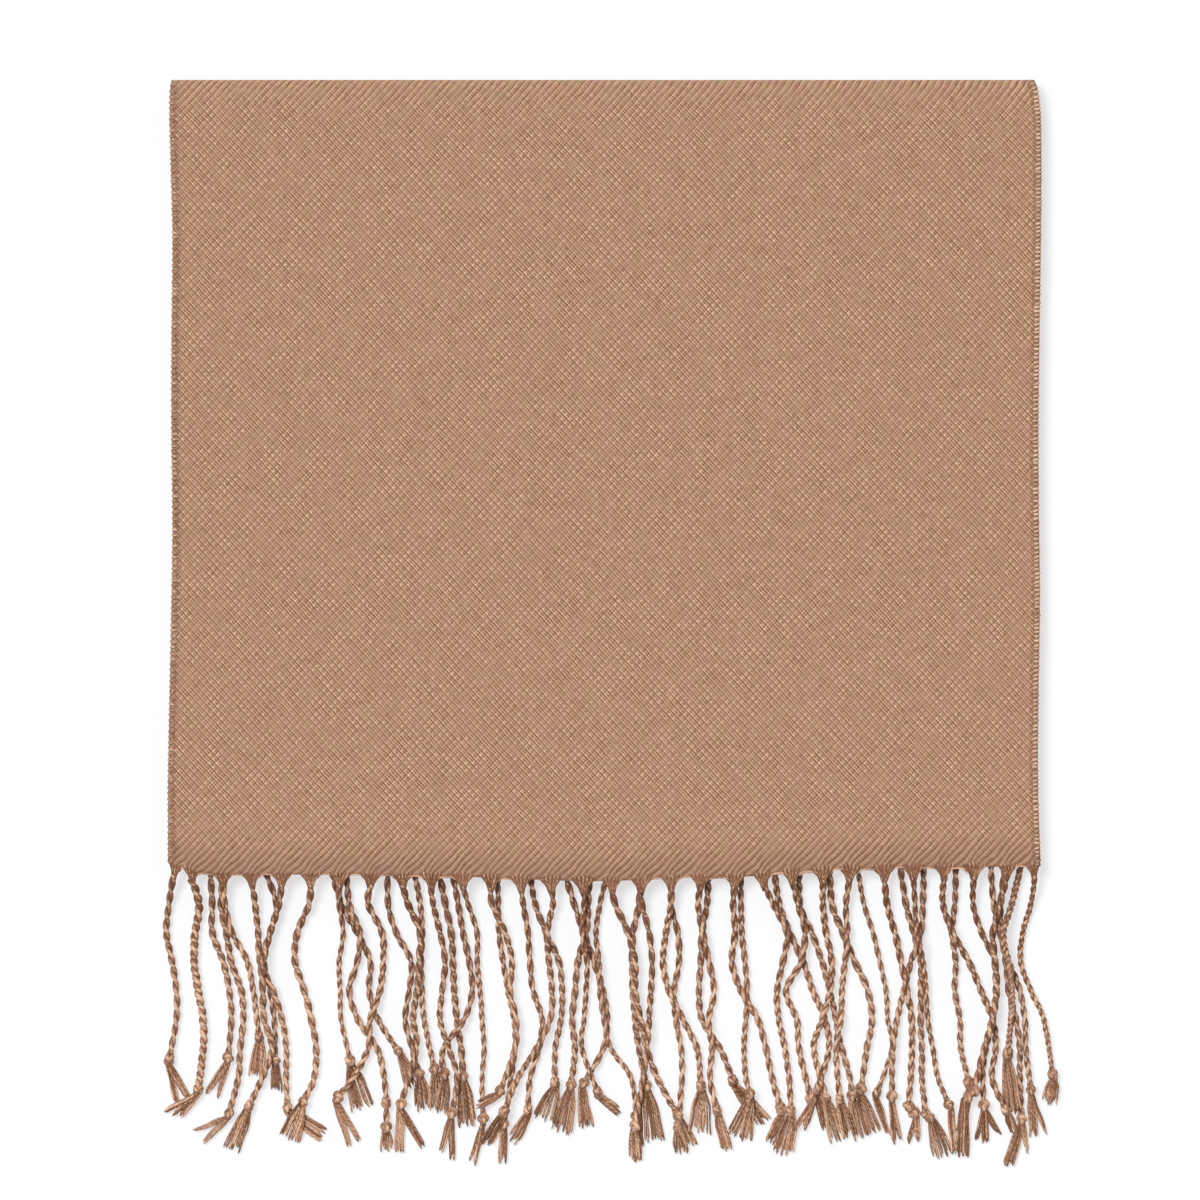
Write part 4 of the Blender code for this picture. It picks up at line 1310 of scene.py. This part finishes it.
def build_fringe(name, cords, locks, twists, second_knots, layer, hem_rise, pile, seed):
    """All the cords of one end: gathered, twisted, knotted and spread into tassels."""
    sizes = bpy.context.scene.scarf_fringe
    colours = bpy.context.scene.scarf_colours
    chance = random.Random(seed)
    tubes = Tubes()
    inset = 0.0 if layer == FRONT_LAYER else INNER_SETBACK
    hem_z = layer_middle(layer) + 0.1 * MM
    ends = [edge_place(HEM_Y, inset, 0.0) + EDGE_MARGIN]
    for cord, after in zip(cords, cords[1:]):
        ends.append((along(cord[0]) + along(after[0])) / 2.0)
    ends.append(edge_place(HEM_Y, inset, 1.0) - EDGE_MARGIN)
    for k, (root, stations, knot, tip) in enumerate(cords):
        thickness, turn_share = twists.get(root, (1.0, 1.0))
        if root not in twists:
            thickness = chance.uniform(0.93, 1.06)
            turn_share = chance.uniform(0.88, 1.1) * chance.choice((-1, 1))
        radius = (sizes.ply_radius + sizes.ply_offset) * thickness * REST_SHARE
        foot = hem(along(root)) + hem_rise
        through = [Vector((along(root), foot - GATHER_DROP, 0.0))]
        for x_px, row in zip(stations, STATION_ROWS_PX):
            through.append(flat(x_px, row))
        knots = [flat(*knot)]
        if root in second_knots:
            knots.append(flat(*second_knots[root]))
        through += knots[:-1]
        approach = (knots[-1] - through[-1]).normalized()
        through.append(knots[-1] - approach * KNOT_TUCK)
        points = smooth_route(through, STEP)
        radii = [radius] * len(points)
        pile.settle(points, radii, FALL, hem_z - ROOT_DEPTH)
        left = max(ends[k], along(root) - GATHER_REACH * chance.uniform(0.85, 1.05))
        right = min(ends[k + 1], along(root) + GATHER_REACH * chance.uniform(0.85, 1.05))
        gather(tubes, root, hem_z, hem_rise, left, right, chance, points[2])
        twist(tubes, points, thickness, sizes.twist_length * turn_share, sizes, chance)
        heading = (points[-1] - points[-4]).normalized()
        knot_size = chance.uniform(1.0, 1.18) * (0.75 + 0.25 * thickness)
        tied_knots = [
            tie_knot(tubes, pile, place, heading, knot_size, chance) for place in knots
        ]
        pile.keep(points[:-OWN_END], radii[:-OWN_END])
        tied = tied_knots[-1]
        knot_end = tied + heading * KNOT_LENGTH * 0.36 * knot_size
        knot_end.z = tied.z
        spread_tassel(tubes, pile, knot_end, locks.get(root, (tip,)), sizes, chance)
        pile.keep(points[-OWN_END:], radii[-OWN_END:])
        pile.keep(tied_knots, [KNOT_RADIUS * knot_size] * len(tied_knots))
    if layer == FRONT_LAYER:
        loose = random.Random(seed + LOOP_SEED_STEP)
        for cord, after in zip(cords, cords[1:]):
            for _ in range(loose.choice((0, 1, 1, 2))):
                loop_along_hem(tubes, along(cord[0]), along(after[0]), hem_z, loose)
    # the rear cords get painted shade under the front ones
    shade = 1.0 if layer == FRONT_LAYER else REAR_PAINTED_SHADE
    dark = tuple(channel * shade for channel in colours.yarn_dark)
    lit = tuple(channel * shade for channel in colours.yarn_light)
    finish = yarn_finish(name + "_yarn", dark, lit, 1.0)
    return finished_piece(name + "_cords", tubes.finish(), finish, (name,))


# ---------------------------------------------------------------- the stage
FLOOR_HALF = 1.6                    # metres from the floor's middle to its edge
FLOOR_GLOW = 0.613                  # of the paper, as if it lay on a light table
FLOOR_Z = -0.8 * MM                 # a little under the scarf, which softens its shadows
FLOOR_MIDDLE_Y = -42.0 * MM
KEY_AIM = Vector((0.37, -0.31, -1.0))
KEY_ANGLE = math.radians(24.0)      # how wide the key light looks from the scarf
KEY_ENERGY = 1.94
ROOM_STRENGTH = 0.42
WHITE = (1.0, 1.0, 1.0, 1.0)
CAMERA_HEIGHT = 5.0
SHARP_HEIGHT = 4.0 * MM             # of the plane whose places match the photo's
SENSOR_MM = 36.0


def build_floor(colours):
    """Pale paper that glows, so that the shadows on it stay light."""
    bm = bmesh.new()
    bmesh.ops.create_grid(bm, x_segments=1, y_segments=1, size=FLOOR_HALF)
    bmesh.ops.translate(bm, verts=bm.verts, vec=(0.0, FLOOR_MIDDLE_Y, FLOOR_Z))
    mesh = bpy.data.meshes.new("floor")
    bm.to_mesh(mesh)
    bm.free()
    finish = Finish("paper", 0.9)
    grain = finish.noise(300.0, 2.0)
    dull = tuple(channel * 0.99 for channel in colours.floor)
    finish.colour(finish.mix(grain, dull, colours.floor))
    finish.shader.inputs["Emission Color"].default_value = WHITE
    finish.shader.inputs["Emission Strength"].default_value = FLOOR_GLOW
    mesh.materials.append(finish.material)
    floor = bpy.data.objects.new("floor", mesh)
    bpy.context.scene.collection.objects.link(floor)


def build_lights():
    """A wide, even key light from the upper left, and a white room."""
    data = bpy.data.lights.new("key", "SUN")
    data.angle = KEY_ANGLE
    data.energy = KEY_ENERGY
    key = bpy.data.objects.new("key", data)
    key.rotation_euler = KEY_AIM.to_track_quat("-Z", "Y").to_euler()
    bpy.context.scene.collection.objects.link(key)
    world = bpy.data.worlds.new("studio")
    world.use_nodes = True
    background = world.node_tree.nodes["Background"]
    background.inputs["Color"].default_value = WHITE
    background.inputs["Strength"].default_value = ROOM_STRENGTH
    bpy.context.scene.world = world
    bpy.context.scene.view_settings.view_transform = "Standard"


def build_camera():
    """A camera straight above the middle of the photo's frame."""
    data = bpy.data.cameras.new("camera")
    data.type = "PERSP"
    data.sensor_width = SENSOR_MM
    data.lens = SENSOR_MM * (CAMERA_HEIGHT - SHARP_HEIGHT) / (PHOTO_SIZE_PX * PX)
    camera = bpy.data.objects.new("camera", data)
    camera.location = (along(PHOTO_SIZE_PX / 2.0), up(PHOTO_SIZE_PX / 2.0), CAMERA_HEIGHT)
    bpy.context.scene.collection.objects.link(camera)
    bpy.context.scene.camera = camera


# ---------------------------------------------------------------- operators
shared_pile = Pile()


class SCARF_OT_folded_cloth(bpy.types.Operator):
    """Make the folded cloth, as one sheet in six layers"""

    bl_idname = "scarf.folded_cloth"
    bl_label = "Folded cloth"

    def execute(self, context):
        build_cloth(context.scene.scarf_cloth, context.scene.scarf_colours)
        return {"FINISHED"}


class SCARF_OT_side_stitching(bpy.types.Operator):
    """Make the overlock stitches round both long edges"""

    bl_idname = "scarf.side_stitching"
    bl_label = "Side stitching"

    def execute(self, context):
        build_stitching(context.scene.scarf_cloth, context.scene.scarf_colours)
        return {"FINISHED"}


class SCARF_OT_rear_fringe(bpy.types.Operator):
    """Make the rear end's knotted cords, which lie on the floor under the front ones"""

    bl_idname = "scarf.rear_fringe"
    bl_label = "Rear fringe"

    def execute(self, context):
        shared_pile.cells.clear()
        build_fringe(
            "rear_fringe",
            REAR_CORDS,
            REAR_LOCKS,
            REAR_TWISTS,
            REAR_SECOND_KNOTS,
            layer=REAR_LAYER,
            hem_rise=REAR_HEM_SETBACK,
            pile=shared_pile,
            seed=REAR_SEED,
        )
        return {"FINISHED"}


class SCARF_OT_front_fringe(bpy.types.Operator):
    """Make the front end's knotted cords, laid over the rear ones"""

    bl_idname = "scarf.front_fringe"
    bl_label = "Front fringe"

    def execute(self, context):
        build_fringe(
            "front_fringe",
            FRONT_CORDS,
            FRONT_LOCKS,
            FRONT_TWISTS,
            FRONT_SECOND_KNOTS,
            layer=FRONT_LAYER,
            hem_rise=0.0,
            pile=shared_pile,
            seed=FRONT_SEED,
        )
        return {"FINISHED"}


class SCARF_OT_stage(bpy.types.Operator):
    """Make the pale floor, the soft studio light and the camera straight above"""

    bl_idname = "scarf.stage"
    bl_label = "Stage"

    def execute(self, context):
        build_floor(context.scene.scarf_colours)
        build_lights()
        build_camera()
        return {"FINISHED"}


class SCARF_PT_build(bpy.types.Panel):
    """The scarf's sizes, colours and pieces"""

    bl_label = "Bamboo scarf"
    bl_space_type = "VIEW_3D"
    bl_region_type = "UI"
    bl_category = "Scarf"

    def draw(self, context):
        for group in PROPERTY_GROUPS:
            settings = getattr(context.scene, group)
            box = self.layout.box()
            for key in settings.bl_rna.properties.keys():
                if key not in ("rna_type", "name"):
                    box.prop(settings, key)
        for operator in OPERATORS:
            self.layout.operator(operator.bl_idname)


OPERATORS = (
    SCARF_OT_folded_cloth,
    SCARF_OT_side_stitching,
    SCARF_OT_rear_fringe,
    SCARF_OT_front_fringe,
    SCARF_OT_stage,
)
PROPERTY_GROUPS = {
    "scarf_cloth": ScarfClothSizes,
    "scarf_fringe": ScarfFringeSizes,
    "scarf_colours": ScarfColours,
}


def register():
    for group in PROPERTY_GROUPS.values():
        bpy.utils.register_class(group)
    for operator in OPERATORS:
        bpy.utils.register_class(operator)
    bpy.utils.register_class(SCARF_PT_build)
    for name, group in PROPERTY_GROUPS.items():
        setattr(bpy.types.Scene, name, PointerProperty(type=group))


def unregister():
    for name in PROPERTY_GROUPS:
        delattr(bpy.types.Scene, name)
    bpy.utils.unregister_class(SCARF_PT_build)
    for operator in reversed(OPERATORS):
        bpy.utils.unregister_class(operator)
    for group in reversed(PROPERTY_GROUPS.values()):
        bpy.utils.unregister_class(group)


def main():
    """Make every piece and the stage."""
    register()
    bpy.ops.scarf.folded_cloth()
    bpy.ops.scarf.side_stitching()
    bpy.ops.scarf.rear_fringe()
    bpy.ops.scarf.front_fringe()
    bpy.ops.scarf.stage()


if __name__ == "__main__":
    main()
